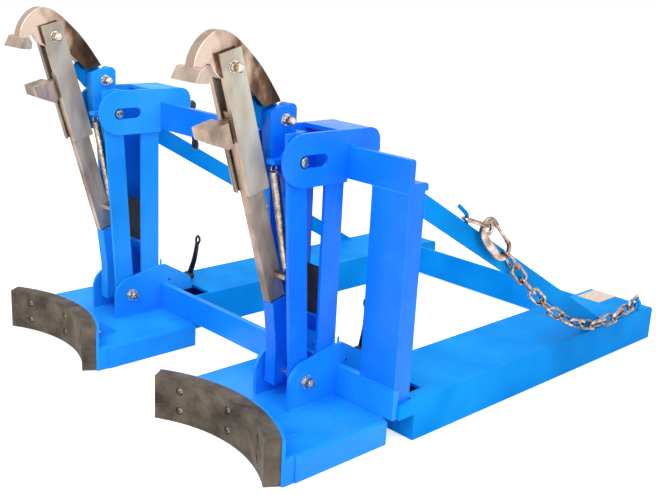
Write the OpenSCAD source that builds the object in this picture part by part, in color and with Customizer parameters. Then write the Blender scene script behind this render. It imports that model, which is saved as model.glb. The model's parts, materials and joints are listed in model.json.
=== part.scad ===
// Forklift attachment that lifts two steel drums by the rim.
// Sizes are real millimetres, Z is up, and the model stands on Z = 0.
// The truck frame is drawn round its own origin: X = 0 is its middle plane and
// Y = 0 the front of the cross plates. place() then centres the part.

/* [Cross plates and posts] */
// half the length of the two cross plates
cross_half = 431; // [400:1:460]
// thickness of the cross plates
cross_t = 14; // [8:1:25]
// height of each cross plate
cross_h = 60; // [40:1:90]
// underside of the upper cross plate
upper_z = 478; // [420:1:540]
// underside of the lower cross plate
lower_z = 54; // [40:1:90]
// width of a post
post_w = 88; // [50:1:120]
// plate thickness of posts and struts
post_t = 8; // [5:1:12]
// step from the end of the cross plates in to posts and struts
side_in = 6; // [2:1:12]
// depth of a post
post_d = 50; // [30:1:70]
// top of the posts
post_top = 493; // [440:1:560]
// bottom of the posts
post_bottom = 52; // [40:1:80]

/* [Fork sleeves and struts] */
// inner side of a sleeve from the middle
sleeve_in = 268; // [220:1:300]
// width of a sleeve
sleeve_w = 168; // [120:1:200]
// height of a sleeve
sleeve_h = 82; // [60:1:110]
// wall of a sleeve
sleeve_wall = 6; // [4:1:10]
// front end of a sleeve
sleeve_front = 56; // [40:1:90]
// rear end of a sleeve
sleeve_rear = 940; // [800:5:1100]
// corner radius at the open rear end
sleeve_round = 12; // [4:1:30]
// height of a strut where it leaves the post
strut_h = 44; // [30:1:60]
// fall of a strut over its run
strut_fall = 0.57; // [0.4:0.01:0.8]
// rear cross member, front face
rear_bar_y = 848; // [600:1:900]

/* [Chain] */
// wire of a chain link
link_wire = 6.6; // [5:0.1:9]
// outer width of a chain link
link_w = 28; // [22:1:36]
// pitch of the chain
link_pitch = 48.2; // [40:0.1:60]
// number of links behind the snap hook
link_count = 14; // [8:1:20]
// bar of the snap hook
snap_bar = 8; // [6:0.5:12]
// length of the snap hook
snap_len = 117; // [80:1:140]
// width of the snap hook
snap_w = 45; // [30:1:60]

/* [Gripper head and lug] */
// middle of the right gripper
right_x = 229.5; // [180:0.5:280]
// distance between the two grippers
pair_step = 600; // [560:1:700]
// outer faces of head and lug plates from the gripper's middle
plate_out = 52; // [40:1:70]
// thickness of head, lug and column plates
plate_t = 8; // [5:1:12]
// top of the head
head_top_z = 568; // [540:1:620]
// radius of the head's nose
nose_r = 48; // [35:1:60]
// rear end of the head behind the cross plate
head_rear = 80; // [50:1:110]
// radius of the head's upper rear corner
head_round = 26; // [8:1:28]
// travel of the slot pin along the slot
slot_run = 43; // [20:1:60]
// clear height of the slot
slot_h = 24; // [20:1:30]
// pivot axis of the arm, Y and Z
pivot_y = -79; // [-120:1:-40]
pivot_z = 100; // [80:1:140]
// radius of the lug's nose
lug_r = 41; // [30:1:55]
// depth of the columns
column_d = 46; // [30:1:60]

/* [Base and belly pad] */
// half width of the base tray
base_half = 187; // [150:1:210]
// top of the base tray
base_top = 50; // [40:1:70]
// plate of the base tray
base_t = 6; // [4:1:8]
// middle of the drum, from the cross plates
drum_y = -520; // [-560:1:-480]
// inner radius of the belly pad
pad_r = 298; // [280:1:310]
// thickness of the belly pad
pad_t = 30; // [15:1:40]
// height of the belly pad
pad_h = 88; // [60:1:120]
// steel band behind the pad
band_t = 6; // [4:1:10]

/* [Arm and beak] */
// diameter of pivot pin and slot pin
pin_d = 18; // [12:1:24]
// running clearance of a pin, on the radius
pin_gap = 0.05; // [0.01:0.01:0.1]
// forward lean of the arm at rest
arm_lean = 3.54; // [0:0.01:8]
// height of the bolt that carries the beak, along the arm
arm_bolt_t = 486; // [440:1:520]
// middle plane of the beak from the gripper's middle
beak_x = -20; // [-30:1:30]
// lean of guide and slider
guide_lean = 16; // [8:0.5:24]
// width, depth and wall of the guide channel
guide_w = 44; // [36:1:60]
guide_d = 46; // [36:1:60]
guide_wall = 3; // [2:0.5:5]
// length of the guide channel
guide_len = 252; // [200:1:300]
// width and depth of the slider
slider_w = 18.7; // [14:0.1:30]
slider_d = 37; // [25:1:40]
// length of the slider below the guide
slider_drop = 220; // [150:1:260]
// thickness of the beak plate
beak_t = 24; // [16:1:30]
// width of the beak's claw
claw_w = 70; // [50:1:90]

/* [Spring] */
// outer diameter of the lift spring
spring_d = 16.5; // [12:0.5:17]
// wire of the lift spring
spring_wire = 2.6; // [2:0.1:3]
// number of curls
spring_curls = 44; // [30:1:46]

/* [Clamp screws] */
// clamp screw diameter
screw_d = 16; // [12:1:20]
// length of the lower and upper lever
lower_lever = 118; // [100:1:160]
upper_lever = 104; // [80:1:140]
// rest angle of each lower lever from upright, right and left
lower_turn_right = 5; // [-40:1:40]
lower_turn_left = 19; // [-40:1:40]
// rest angle of the upper levers
upper_turn = 168; // [90:1:200]

/* [Hidden] */
$fn = 48;

blue = [0.05, 0.4, 0.95];
steel = [0.75, 0.74, 0.71];
zinc = [0.8, 0.8, 0.82];
black = [0.07, 0.07, 0.07];
rubber = [0.2, 0.16, 0.12];

left_x = right_x - pair_step;
// middle to the outer face of posts and struts, and to the hanging chain
side_x = cross_half - side_in;
chain_out = side_x + link_w / 2 + 0.5;
// the belly pad ends a little inside the sides of the base tray
pad_half = asin((base_half - 5) / (pad_r + pad_t + band_t));
// ends of the whole part: base tray, hanging chain and beak claw
part_left = left_x - base_half;
part_right = chain_out + link_w / 2;
part_front = -311;
shift = [-(part_left + part_right) / 2, -(part_front + sleeve_rear) / 2, 0];

strut_top = post_top - 19;
ear_rear = post_d + 8;
strip_z = 53;
strip_x = sleeve_in + sleeve_w - 10.7;
cut_x = 404;
cut_y = 109;

// the arm's own frame: t runs up from the pivot, n runs forward
lean = [-sin(arm_lean), cos(arm_lean)];
fore = [-cos(arm_lean), -sin(arm_lean)];
function on_arm(t, n) = [pivot_y, pivot_z] + t * lean + n * fore;
slot_t = 418.8;
slot_c = on_arm(slot_t, 0);
bolt_c = on_arm(arm_bolt_t, 0);
cheek_front = 31;
cheek_rear = 12;
cheek_top = arm_bolt_t - 16;
tube_r = 13;
arm_gap = 2;
arm_half = plate_out - plate_t - arm_gap;

// the guide's own frame: t runs up along it, d runs into its depth
guide_foot = [-186, 457];
rise = [-sin(guide_lean), cos(guide_lean)];
deep = [cos(guide_lean), sin(guide_lean)];
function on_guide(t, d) = guide_foot + t * rise + d * deep;
beak_bolt_c = on_guide(224, 23);
slider_top = 150;
slider_in = 5;
jaw_low = 96;
jaw_high = 142;

screw_rear = 128;
lever_y = 118;
upper_screw_z = 518;
lower_screw_z = 97;
nut_y = 44;
nut_t = 16;

spring_x = 12;
spring_top = [-143, 512];
spring_low = [-102, 306.3];
ear_z = 298;
tab_t = 8;

snap_mid = [chain_out, 251.5, 362];
snap_dir = [0, 0.728, -0.685];
snap_half = (snap_len - snap_bar) / 2;
snap_reach = snap_half - snap_bar / 2;
hook_leg = 178;
hook_joint = [side_x - post_t / 2, hook_leg - 4.9, 410];
eye_bar = 9;
eye_r = 11;
eye_x = 420;
eye_y = 880;
eye_z = sleeve_h + 30 - eye_bar / 2;
rest_z = sleeve_h + 13;
chain_start = snap_mid[1] + snap_reach * snap_dir[1];
chain_drop = snap_mid[2] + snap_reach * snap_dir[2] - rest_z;
chain_rest = 700;
strut_end = 740;

module place() { translate(shift) children(); }

// A plate that stands in the YZ plane, from x0 over a thickness t.
module side_plate(x0, t) {
    translate([x0, 0, 0]) rotate([90, 0, 90]) linear_extrude(t) children();
}

// A pin along X.
module x_pin(x0, x1, r, c) {
    translate([x0, c[0], c[1]]) rotate([0, 90, 0]) cylinder(r = r, h = x1 - x0);
}

// A screw or rod along Y.
module y_pin(x, y0, y1, r, z) {
    translate([x, y0, z]) rotate([-90, 0, 0]) cylinder(r = r, h = y1 - y0);
}

module mirror_side(side) { if (side > 0) children(); else mirror([1, 0, 0]) children(); }

// Sub-parts of the truck frame

module upper_cross_plate() {
    r = 6;
    color(blue) place() rotate([90, 0, 0]) translate([0, 0, -cross_t]) linear_extrude(cross_t)
        union() {
            translate([-cross_half, upper_z]) square([2 * cross_half, cross_h - r]);
            translate([-cross_half + r, upper_z]) square([2 * (cross_half - r), cross_h]);
            for (s = [-1, 1]) translate([s * (cross_half - r), upper_z + cross_h - r]) circle(r);
        }
}

module lower_cross_plate() {
    color(blue) place() translate([-cross_half, 0, lower_z]) cube([2 * cross_half, cross_t, cross_h]);
}

module post(side) {
    color(blue) place() mirror_side(side) union() {
        // front flange between the cross plates
        translate([cross_half - post_w, 0, lower_z + cross_h])
            cube([post_w, post_t, upper_z - lower_z - cross_h]);
        // side flange behind them, with a rounded ear at the top
        side_plate(side_x - post_t, post_t) union() {
            translate([post_t, lower_z + cross_h])
                square([post_d - post_t, upper_z - lower_z - cross_h]);
            translate([cross_t, post_bottom]) square([post_d - cross_t, post_top - post_bottom]);
            translate([post_d - 1, post_top - 15]) square([ear_rear - post_d - 6, 15]);
            translate([post_d - 1, post_top - 15]) square([ear_rear - post_d + 1, 8]);
            translate([ear_rear - 7, post_top - 7]) circle(7);
        }
        // cap between the flanges
        translate([cross_half - post_w, cross_t, post_top - 8])
            cube([side_x - post_t - cross_half + post_w, post_d - cross_t, 8]);
    }
}

module strut(side) { color(blue) place() mirror_side(side) strut_bar(); }

module strut_bar(wider = 0) {
    run = (strut_top - sleeve_h) / strut_fall;
    low_run = (strut_top - strut_h - sleeve_h) / strut_fall;
    side_plate(side_x - post_t - wider, post_t + 2 * wider)
        polygon([[post_d, strut_top], [post_d + run, sleeve_h],
                 [post_d + low_run, sleeve_h], [post_d, strut_top - strut_h]]);
}

module sleeve(side) {
    far = sleeve_in + sleeve_w;
    w = sleeve_wall;
    r = sleeve_round;
    color(blue) place() mirror_side(side) union() {
        // bottom and inner wall
        translate([sleeve_in, sleeve_front, 0]) cube([sleeve_w, sleeve_rear - sleeve_front, w]);
        side_plate(sleeve_in, w) rear_rounded(sleeve_front, 0);
        // outer wall, with its strip that runs on to the cross plate
        side_plate(far - w, w) union() {
            rear_rounded(sleeve_front, 0);
            translate([cross_t, strip_z]) square([sleeve_front - cross_t + 1, sleeve_h - strip_z]);
        }
        // top plate with the cut-out behind the post
        translate([0, 0, sleeve_h - w]) linear_extrude(w) union() {
            translate([sleeve_in, cut_y]) square([sleeve_w, sleeve_rear - r - cut_y]);
            translate([cut_x, sleeve_front + 1]) square([far - cut_x, cut_y - sleeve_front]);
            translate([strip_x, cross_t]) square([far - strip_x, cut_y - cross_t]);
        }
        // front wall
        translate([sleeve_in, sleeve_front, 0]) cube([sleeve_w, w, sleeve_h - w - 0.5]);
    }
}

// Side of a sleeve from y0 to the rear end, with its rounded top corner.
module rear_rounded(y0, z0) {
    r = sleeve_round;
    translate([y0, z0]) square([sleeve_rear - y0, sleeve_h - z0 - r]);
    translate([y0, z0]) square([sleeve_rear - y0 - r, sleeve_h - z0]);
    translate([sleeve_rear - r, sleeve_h - r]) circle(r);
}

module rear_cross_member() {
    color(blue) place() translate([-sleeve_in, rear_bar_y, 4])
        cube([2 * sleeve_in, 8, sleeve_h - 4]);
}

module blank_plate() {
    color(steel) place() translate([280, 845, sleeve_h]) cube([62, 82, 1.5]);
}

// Chain and its fittings

module chain_hook() {
    bar = 8;
    bend = 10;
    tip = 28;
    rise_up = 37;
    foot = strut_top - strut_fall * (hook_leg - post_d);
    top = hook_joint[2] + 3;
    x = side_x - post_t / 2;
    color(blue) place() difference() {
        union() {
            // leg and tip reach into the bend and are a hair thinner
            translate([x, hook_leg, foot - 4]) cylinder(d = bar - 0.1, h = top - foot + 4.8);
            translate([x, hook_leg - bend, top]) rotate([0, -90, 0]) rotate([0, 0, rise_up])
                rotate_extrude(angle = 90 - rise_up) translate([bend, 0]) circle(d = bar);
            translate([x, hook_leg - bend + bend * sin(rise_up), top + bend * cos(rise_up)])
                rotate([90 - rise_up, 0, 0]) translate([0, 0, -0.8]) cylinder(d = bar - 0.1, h = tip);
        }
        // the foot is cut to the slope of the strut's top edge
        strut_bar(3);
    }
}

module chain_eye() {
    color(blue) place() union() {
        for (s = [-1, 1]) translate([eye_x + s * eye_r, eye_y, sleeve_h])
            cylinder(d = eye_bar, h = eye_z - eye_r - sleeve_h);
        translate([eye_x, eye_y, eye_z - eye_r]) rotate([90, 0, 0])
            rotate_extrude(angle = 180) translate([eye_r, 0]) circle(d = eye_bar);
    }
}

// An oval link of round wire between two joints, rolled about its length.
module link(a, b, wire, width, roll) {
    v = b - a;
    len = norm(v);
    r = (width - wire) / 2;
    straight = len + wire + 0.3 - 2 * r;
    pitch_up = -atan2(v[2], norm([v[0], v[1]]));
    translate((a + b) / 2) rotate([0, 0, atan2(v[1], v[0])]) rotate([0, pitch_up, 0])
        rotate([roll, 0, 0]) union() {
            for (s = [0, 180]) rotate([0, 0, s]) {
                translate([straight / 2, 0, 0]) rotate([0, 0, -90])
                    rotate_extrude(angle = 180, $fn = 16) translate([r, 0]) circle(d = wire, $fn = 16);
                // the straight starts just inside the bends and is a hair thinner
                translate([-straight / 2 - 0.8, r, 0]) rotate([0, 90, 0])
                    cylinder(d = wire - 0.1, h = straight + 1.6, $fn = 16);
            }
        }
}

// Height and side of the slack chain at a distance behind the cross plates.
function chain_z(y) = y >= chain_rest ? rest_z + 0.02 * (y - chain_rest)
    : rest_z + chain_drop * pow((chain_rest - y) / (chain_rest - chain_start), 1.85);
function chain_x(y) = y < strut_end ? chain_out
    : chain_out - (chain_out - eye_x) * (y - strut_end) / (eye_y - strut_end);
function chain_roll(i) = (i % 2) * 90 + 45 * sin(180 * i / (link_count - 1));
function chain_p(y) = [chain_x(y), y, chain_z(y)];
function chain_next(y) = let (guess = y + link_pitch * 0.75,
    slope = (chain_z(guess) - chain_z(y)) / (guess - y),
    step = y + link_pitch / sqrt(1 + slope * slope),
    slope2 = (chain_z(step) - chain_z(y)) / (step - y))
    y + link_pitch / sqrt(1 + slope2 * slope2);
function chain_ys(y, n) = n == 0 ? [y] : concat([y], chain_ys(chain_next(y), n - 1));

module safety_chain() {
    ys = chain_ys(chain_start, link_count - 1);
    last = [eye_x, eye_y + (eye_bar + 0.6) / 2 - 0.15, eye_z];
    color(zinc) place() union() {
        // this link comes in from the side, so it sits a little deeper in the snap hook
        link(hook_joint, snap_mid - (snap_reach - 1.3) * snap_dir, link_wire, link_w, 0);
        for (i = [0 : link_count - 2])
            link(chain_p(ys[i]), chain_p(ys[i + 1]), link_wire, link_w, chain_roll(i));
        link(chain_p(ys[link_count - 1]), last, link_wire, link_w, 90);
    }
}

// Snap hook: one side and both bends; the other side is the gate.
module snap_frame(part) {
    r = (snap_w - snap_bar) / 2;
    straight = 2 * snap_half - 2 * r;
    pitch_up = atan2(-snap_dir[2], snap_dir[1]);
    color(zinc) place() translate(snap_mid) rotate([-pitch_up, 0, 0]) {
        if (part == "body") union() {
            for (s = [0, 180]) translate([0, (s == 0 ? 1 : -1) * straight / 2, 0])
                rotate([0, 90, 0]) rotate([0, 0, s])
                rotate_extrude(angle = 180) translate([r, 0]) circle(d = snap_bar);
            translate([0, -straight / 2, -r]) rotate([-90, 0, 0]) cylinder(d = snap_bar, h = straight);
        }
        // the gate turns about the round eye at its lower end
        if (part == "gate") union() {
            x_pin(-snap_bar / 2, snap_bar / 2, 4, [straight / 2 - 4.4, r]);
            translate([0, -straight / 2 + 0.4, r]) rotate([-90, 0, 0])
                cylinder(d = snap_bar - 1, h = straight - 4.8);
        }
    }
}
module snap_hook() { snap_frame("body"); }
module snap_gate() { snap_frame("gate"); }

// Sub-parts of a gripper; each is drawn round the gripper's own middle.

module grip(x) { place() translate([x, 0, 0]) children(); }

module head_outline() {
    top = head_top_z;
    r = head_round;
    difference() {
        union() {
            translate([slot_c[0], top - nose_r]) circle(nose_r);
            translate([slot_c[0], top - 2 * nose_r]) square([-slot_c[0], 2 * nose_r]);
            translate([-1, upper_z + cross_h]) square([head_rear - r + 1, top - upper_z - cross_h]);
            translate([-1, upper_z + cross_h]) square([head_rear + 1, top - r - upper_z - cross_h]);
            translate([head_rear - r, top - r]) circle(r);
            translate([cross_t, 498]) square([head_rear - cross_t, upper_z + cross_h - 497]);
        }
        slot_outline();
    }
}

module slot_outline() {
    r = slot_h / 2;
    translate([slot_c[0], slot_c[1] - r]) square([slot_run, slot_h]);
    for (y = [0, slot_run]) translate([slot_c[0] + y, slot_c[1]]) circle(r);
}

module head_plates(x) {
    inner = plate_out - plate_t;
    color(blue) grip(x) difference() {
        union() {
            for (s = [-plate_out, inner]) side_plate(s, plate_t) head_outline();
            translate([-inner, -22, head_top_z - plate_t])
                cube([2 * inner, 22 + head_rear - head_round, plate_t]);
            translate([-inner, nut_y, upper_screw_z - 14]) cube([2 * inner, nut_t, 28]);
        }
        y_pin(0, nut_y - 1, nut_y + nut_t + 1, screw_d / 2 + pin_gap, upper_screw_z);
    }
}

// The hook behind the cross plate is left out where a post stands in its way.
module lug_outline(hooked) {
    low = lower_z + cross_h;
    difference() {
        union() {
            translate([pivot_y, pivot_z]) circle(lug_r);
            translate([pivot_y - lug_r, base_top]) square([-pivot_y + lug_r, pivot_z - base_top]);
            polygon([[pivot_y, pivot_z], [0, pivot_z], [0, 157], [-8, 157], [pivot_y, pivot_z + lug_r]]);
            if (hooked) polygon([[-1, low], [cross_t, low], [cross_t, 62], [50, 62], [54, 84],
                [89, 84], [89, 92], [86, 112], [72, 124], [15, 157], [-1, 157]]);
        }
        translate([pivot_y, pivot_z]) circle(pin_d / 2 + pin_gap);
        if (hooked) translate([24, 118]) circle(3);
    }
}

module lug_plates(x) {
    inner = plate_out - plate_t;
    clear = x - plate_out > -side_x + post_t;
    color(blue) grip(x) difference() {
        union() {
            side_plate(-plate_out, plate_t) lug_outline(clear);
            side_plate(inner, plate_t) lug_outline(true);
            translate([-inner, nut_y, lower_screw_z - 14]) cube([2 * inner, nut_t, 28]);
        }
        y_pin(0, nut_y - 1, nut_y + nut_t + 1, screw_d / 2 + pin_gap, lower_screw_z);
    }
}

// Two upright plates behind the arm, joined by the buffer's support strip.
module column(x) {
    outer = plate_out - plate_t;
    color(blue) grip(x) union() {
        for (s = [-outer, outer - plate_t]) translate([s, -column_d, base_top])
            cube([plate_t, column_d, 545 - base_top]);
        side_plate(-outer + plate_t - 0.5, 2 * (outer - plate_t) + 1)
            polygon([[-35, 217], [-5, 172], [-2, 168], [-8, 165], [-39, 213]]);
    }
}

// Rubber faced stop that the arm leans back to.
module buffer(x) {
    half = plate_out - 2 * plate_t;
    color(black) grip(x) side_plate(-half, 2 * half)
        polygon([[-44, 316], [-4, 223], [-2, 194], [-5, 172.2], [-35, 217.2], [-45.5, 300]]);
}

// Outline of the base tray's sheet seen from the front.
module tray_shape(half, top, r) {
    translate([-half, 0]) square([2 * half, top - r]);
    translate([-half + r, 0]) square([2 * (half - r), top]);
    for (s = [-1, 1]) translate([s * (half - r), top - r]) circle(r);
}

// A length of that folded sheet, its sides bent down.
module tray_sheet(half, y0, y1) {
    translate([0, y1, 0]) rotate([90, 0, 0]) linear_extrude(y1 - y0) difference() {
        tray_shape(half, base_top, base_t + 2);
        translate([0, -1]) tray_shape(half - base_t, base_top - base_t + 1, 2);
    }
}

module base_tray(x) {
    r = pad_r + pad_t + band_t;
    rear = 4;
    arc_y = drum_y + sqrt(r * r - base_half * base_half);
    inset = base_half - 10;
    color(blue) grip(x) difference() {
        union() {
            // the front end is a little narrower, to meet the band
            tray_sheet(base_half, arc_y + 24, rear);
            tray_sheet(base_half - 3, arc_y + 1, arc_y + 24.5);
            // rear strip up to the cross plate
            translate([-inset, 0, 20]) cube([2 * inset, rear, lower_z - 20]);
            for (s = [-1, 1]) translate([s * 70 - 3, -195, 2])
                cube([6, 196, base_top - base_t - 1]);
        }
        translate([0, drum_y, -1]) cylinder(r = r, h = base_top + 2, $fn = 96);
    }
}

// A slice of a ring round the drum's middle, open to the front.
module drum_arc(r0, r1, half, z0, z1) {
    translate([0, drum_y, z0]) rotate([0, 0, 90 - half])
        rotate_extrude(angle = 2 * half, $fn = 96) translate([r0, 0]) square([r1 - r0, z1 - z0]);
}

module pad_band(x) {
    r = pad_r + pad_t + band_t;
    back = drum_y + sqrt(r * r - 123 * 123) - 1.5;
    color(blue) grip(x) difference() {
        union() {
            drum_arc(pad_r + pad_t, r, pad_half + 0.5, 0, pad_h - 2);
            for (s = [-1, 1]) side_plate(s * 120 - 3, 6)
                polygon([[back, base_top], [back, pad_h - 6],
                    [back + 11, pad_h - 6], [back + 51, base_top]]);
        }
        pad_holes(5);
    }
}

module pad_holes(r) {
    for (a = [-23, 0, 23], z = [24, 64]) translate([0, drum_y, z]) rotate([0, 0, a])
        rotate([-90, 0, 0]) cylinder(r = r, h = pad_r + pad_t + band_t + 8);
}

module rubber_pad(x) {
    color(rubber) grip(x) difference() {
        drum_arc(pad_r, pad_r + pad_t - 0.02, pad_half, 0, pad_h);
        pad_holes(5);
        for (a = [-23, 0, 23], z = [24, 64]) translate([0, drum_y, z]) rotate([0, 0, a])
            rotate([-90, 0, 0]) cylinder(r = 8, h = pad_r + 12);
    }
}

module pad_screws(x) {
    color(zinc) grip(x) for (a = [-23, 0, 23], z = [24, 64])
        translate([0, drum_y, z]) rotate([0, 0, a]) union() {
            translate([0, pad_r + 6, 0]) rotate([-90, 0, 0]) cylinder(r = 7.2, h = 6);
            translate([0, pad_r + 8, 0]) rotate([-90, 0, 0])
                cylinder(r = 4.6, h = pad_t + band_t);
            translate([0, pad_r + pad_t + band_t, 0]) rotate([-90, 0, 0])
                cylinder(r = 7, h = 5);
        }
}

// The arm: wide right cheek, narrow left cheek, rear web and the upper bracket.
module arm_side(t0, t1, n0, n1) {
    polygon([on_arm(t0, n0), on_arm(t1, n0), on_arm(t1, n1), on_arm(t0, n1)]);
}

module arm(x) {
    half = arm_half;
    bar_half = 14;
    bt = arm_bolt_t;
    color(blue) grip(x) difference() {
        union() {
            side_plate(half - plate_t, plate_t)
                polygon([on_arm(0, -cheek_rear), on_arm(cheek_top, -cheek_rear),
                    on_arm(cheek_top, cheek_front), on_arm(0, cheek_front), on_arm(-14, cheek_front - 7),
                    on_arm(-14, 4)]);
            side_plate(-half, plate_t) arm_side(-10, cheek_top, -cheek_rear, 9);
            // rear web between the cheeks
            side_plate(-half + plate_t - 0.5, 2 * (half - plate_t) + 1)
                arm_side(60, cheek_top - 1, -cheek_rear + 0.6, -6);
            // lower bar, cut along the foot of the slider
            side_plate(-half + plate_t, 2 * bar_half) polygon([on_arm(-18, 8), on_arm(-18, 30),
                on_arm(60, 24), on_guide(-223, slider_in + 3), on_guide(-223, 40),
                on_arm(150, -7), on_arm(60, -7)]);
            // upper bracket for the beak
            side_plate(beak_x - 4.5, 25) union() {
                polygon([on_arm(390, -8), on_arm(390, 6), on_arm(400, 32), on_arm(bt + 18, 33),
                    on_arm(bt + 25, 8), on_arm(bt + 17, -27), on_arm(bt - 16, -25),
                    on_arm(bt - 36, -12)]);
                translate(on_arm(bt + 15, -15)) circle(12);
            }
            side_plate(beak_x - 4.5, 30) arm_side(350, 395, -8, 8);
            // tab for the top of the spring
            translate([0, spring_top[0] - 7, spring_top[1] + 0.3])
                cube([spring_x + spring_d / 2 + 1, 32, tab_t]);
            // tubes round the pivot, with the bare pin between them, and round the slot pin
            x_pin(-half, -5, tube_r, [pivot_y, pivot_z]);
            x_pin(half - plate_t - 2, half, tube_r, [pivot_y, pivot_z]);
            x_pin(-half, half, tube_r, slot_c);
        }
        x_pin(-half - 1, half + 1, pin_d / 2 + pin_gap, [pivot_y, pivot_z]);
        x_pin(-half - 1, half + 1, pin_d / 2, slot_c);
        x_pin(-half - 1, half + 1, 6, bolt_c);
    }
}

module pivot_pin(x) {
    c = [pivot_y, pivot_z];
    color(steel) grip(x) union() {
        x_pin(-plate_out - 8, plate_out + 16, pin_d / 2, c);
        x_pin(plate_out + 0.3, plate_out + 3.5, 14, c);
        x_pin(plate_out + 6, plate_out + 18, 10.5, c);
        x_pin(-plate_out - 7, -plate_out - 2, 12, c);
    }
}

module slot_pin(x) {
    color(steel) grip(x) x_pin(-plate_out, plate_out + 1, pin_d / 2, slot_c);
}

// Beak: hooked steel plate with a cross claw at its tip.
module beak_outline() {
    difference() {
        polygon([[-299, 672], [-296, 690], [-289, 706], [-278, 720], [-265, 731], [-250, 738],
                 [-238, 737], [-222, 732], [-205, 721], [-188, 706], [-171, 691], [-155, 673],
                 [-138, 653], [-120, 628], [-112, 616], [-150, 608], on_guide(186, guide_d + 1),
                 on_guide(203, guide_d - guide_wall - 0.4), on_guide(203, 6), on_guide(222, -8),
                 [-262, 680], [-272, 683], [-277, 672], [-284, 655], [-296, 655]]);
        translate(beak_bolt_c) circle(6);
    }
}

module beak(x) {
    tail = 8;
    color(steel) grip(x) union() {
        side_plate(beak_x - beak_t / 2, beak_t) beak_outline();
        // claw across the tip
        side_plate(beak_x - claw_w / 2, claw_w)
            polygon([[-311, 657], [-300, 656], [-284, 655], [-282, 668], [-290, 680], [-299, 677]]);
        // tail beside the bracket
        side_plate(beak_x - beak_t / 2 - 0.5, tail) difference() {
            polygon(concat([for (p = [[-1, 27], [13, 11], [13, -7], [-3, -19], [-31, -19]]) bolt_c + p],
                [[-156, 584], [-172, 606], [-160, 630], [-130, 640]]));
            translate(bolt_c) circle(6);
        }
    }
}

module arm_bolt(x) {
    left = beak_x - beak_t / 2 - 0.5;
    right = beak_x + 20.5;
    color(steel) grip(x) union() {
        x_pin(left - 12, right + 16, 6, bolt_c);
        x_pin(left - 9, left, 10, bolt_c);
        x_pin(right, right + 3, 11, bolt_c);
        x_pin(right + 11, right + 20, 8.5, bolt_c);
    }
}

module beak_bolt(x) {
    half = guide_w / 2;
    color(steel) grip(x) union() {
        x_pin(beak_x - half - 14, beak_x + half + 14, 6, beak_bolt_c);
        x_pin(beak_x - half - 9, beak_x - half, 10, beak_bolt_c);
        x_pin(beak_x + half, beak_x + half + 3, 11, beak_bolt_c);
        x_pin(beak_x + half + 9, beak_x + half + 18.5, 8.5, beak_bolt_c);
        for (s = [-half + guide_wall, beak_t / 2]) x_pin(beak_x + s, beak_x + s + half - guide_wall
            - beak_t / 2, 9, beak_bolt_c);
    }
}

// Guide: a channel with two front lips that the slider runs in.
module guide(x) {
    half = guide_w / 2;
    lip = 10;
    w = guide_wall;
    run_w = half - w - slider_w / 2 - 0.4;
    color(steel) grip(x) difference() {
        union() {
            for (s = [-half, half - w]) side_plate(beak_x + s, w) guide_side(0, guide_len, 0, guide_d);
            side_plate(beak_x - half + w, guide_w - 2 * w) guide_side(0, 186, guide_d - w, guide_d);
            for (s = [-half + w, half - lip]) side_plate(beak_x + s, lip - w)
                guide_side(0, guide_len - 40, 0, w);
            // runners beside the slider
            for (s = [-half + w, slider_w / 2 + 0.4]) side_plate(beak_x + s, run_w)
                guide_side(2, 80, slider_in + 1, guide_d - w);
        }
        x_pin(beak_x - half - 1, beak_x + half + 1, 6, beak_bolt_c);
    }
}

module guide_side(t0, t1, d0, d1) {
    polygon([on_guide(t0, d0), on_guide(t1, d0), on_guide(t1, d1), on_guide(t0, d1)]);
}

// Slider: a folded channel that runs in the guide and carries the lower jaw.
module slider(x) {
    half = slider_w / 2;
    w = 3;
    color(steel) grip(x) union() {
        for (s = [-half, half - w]) side_plate(beak_x + s, w)
            guide_side(-slider_drop, slider_top, slider_in, slider_in + slider_d);
        side_plate(beak_x - half + w, slider_w - 2 * w)
            guide_side(-slider_drop, slider_top, slider_in, slider_in + w);
        side_plate(beak_x - half + w, slider_w - 2 * w)
            guide_side(-slider_drop + 60, slider_top, slider_in + slider_d - w, slider_in + slider_d);
        translate([beak_x + half, spring_low[0] - 13, ear_z])
            cube([spring_x - beak_x - half + spring_d / 2 + 1, 21, tab_t]);
    }
}

// Lower jaw: a wedge on the slider, out through the guide's slot.
module lower_jaw(x) {
    color(steel) grip(x) union() {
        side_plate(beak_x - 9, 18) guide_side(jaw_low, jaw_high - 4, -22, slider_in);
        side_plate(beak_x - 24, 48) polygon([on_guide(jaw_low, -22), on_guide(jaw_low, -12),
            on_guide(jaw_high - 2, -12), on_guide(jaw_high - 2, -53), on_guide(jaw_low + 23, -53)]);
    }
}

// Spring: one tube of wire wound in a helix, with a straight run at each end.
function spring_point(k, a, u, v, w, r, len, rings) =
    let (turn = k / rings) a + w * (turn * len / spring_curls)
        + r * (cos(360 * turn) * u + sin(360 * turn) * v);

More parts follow.
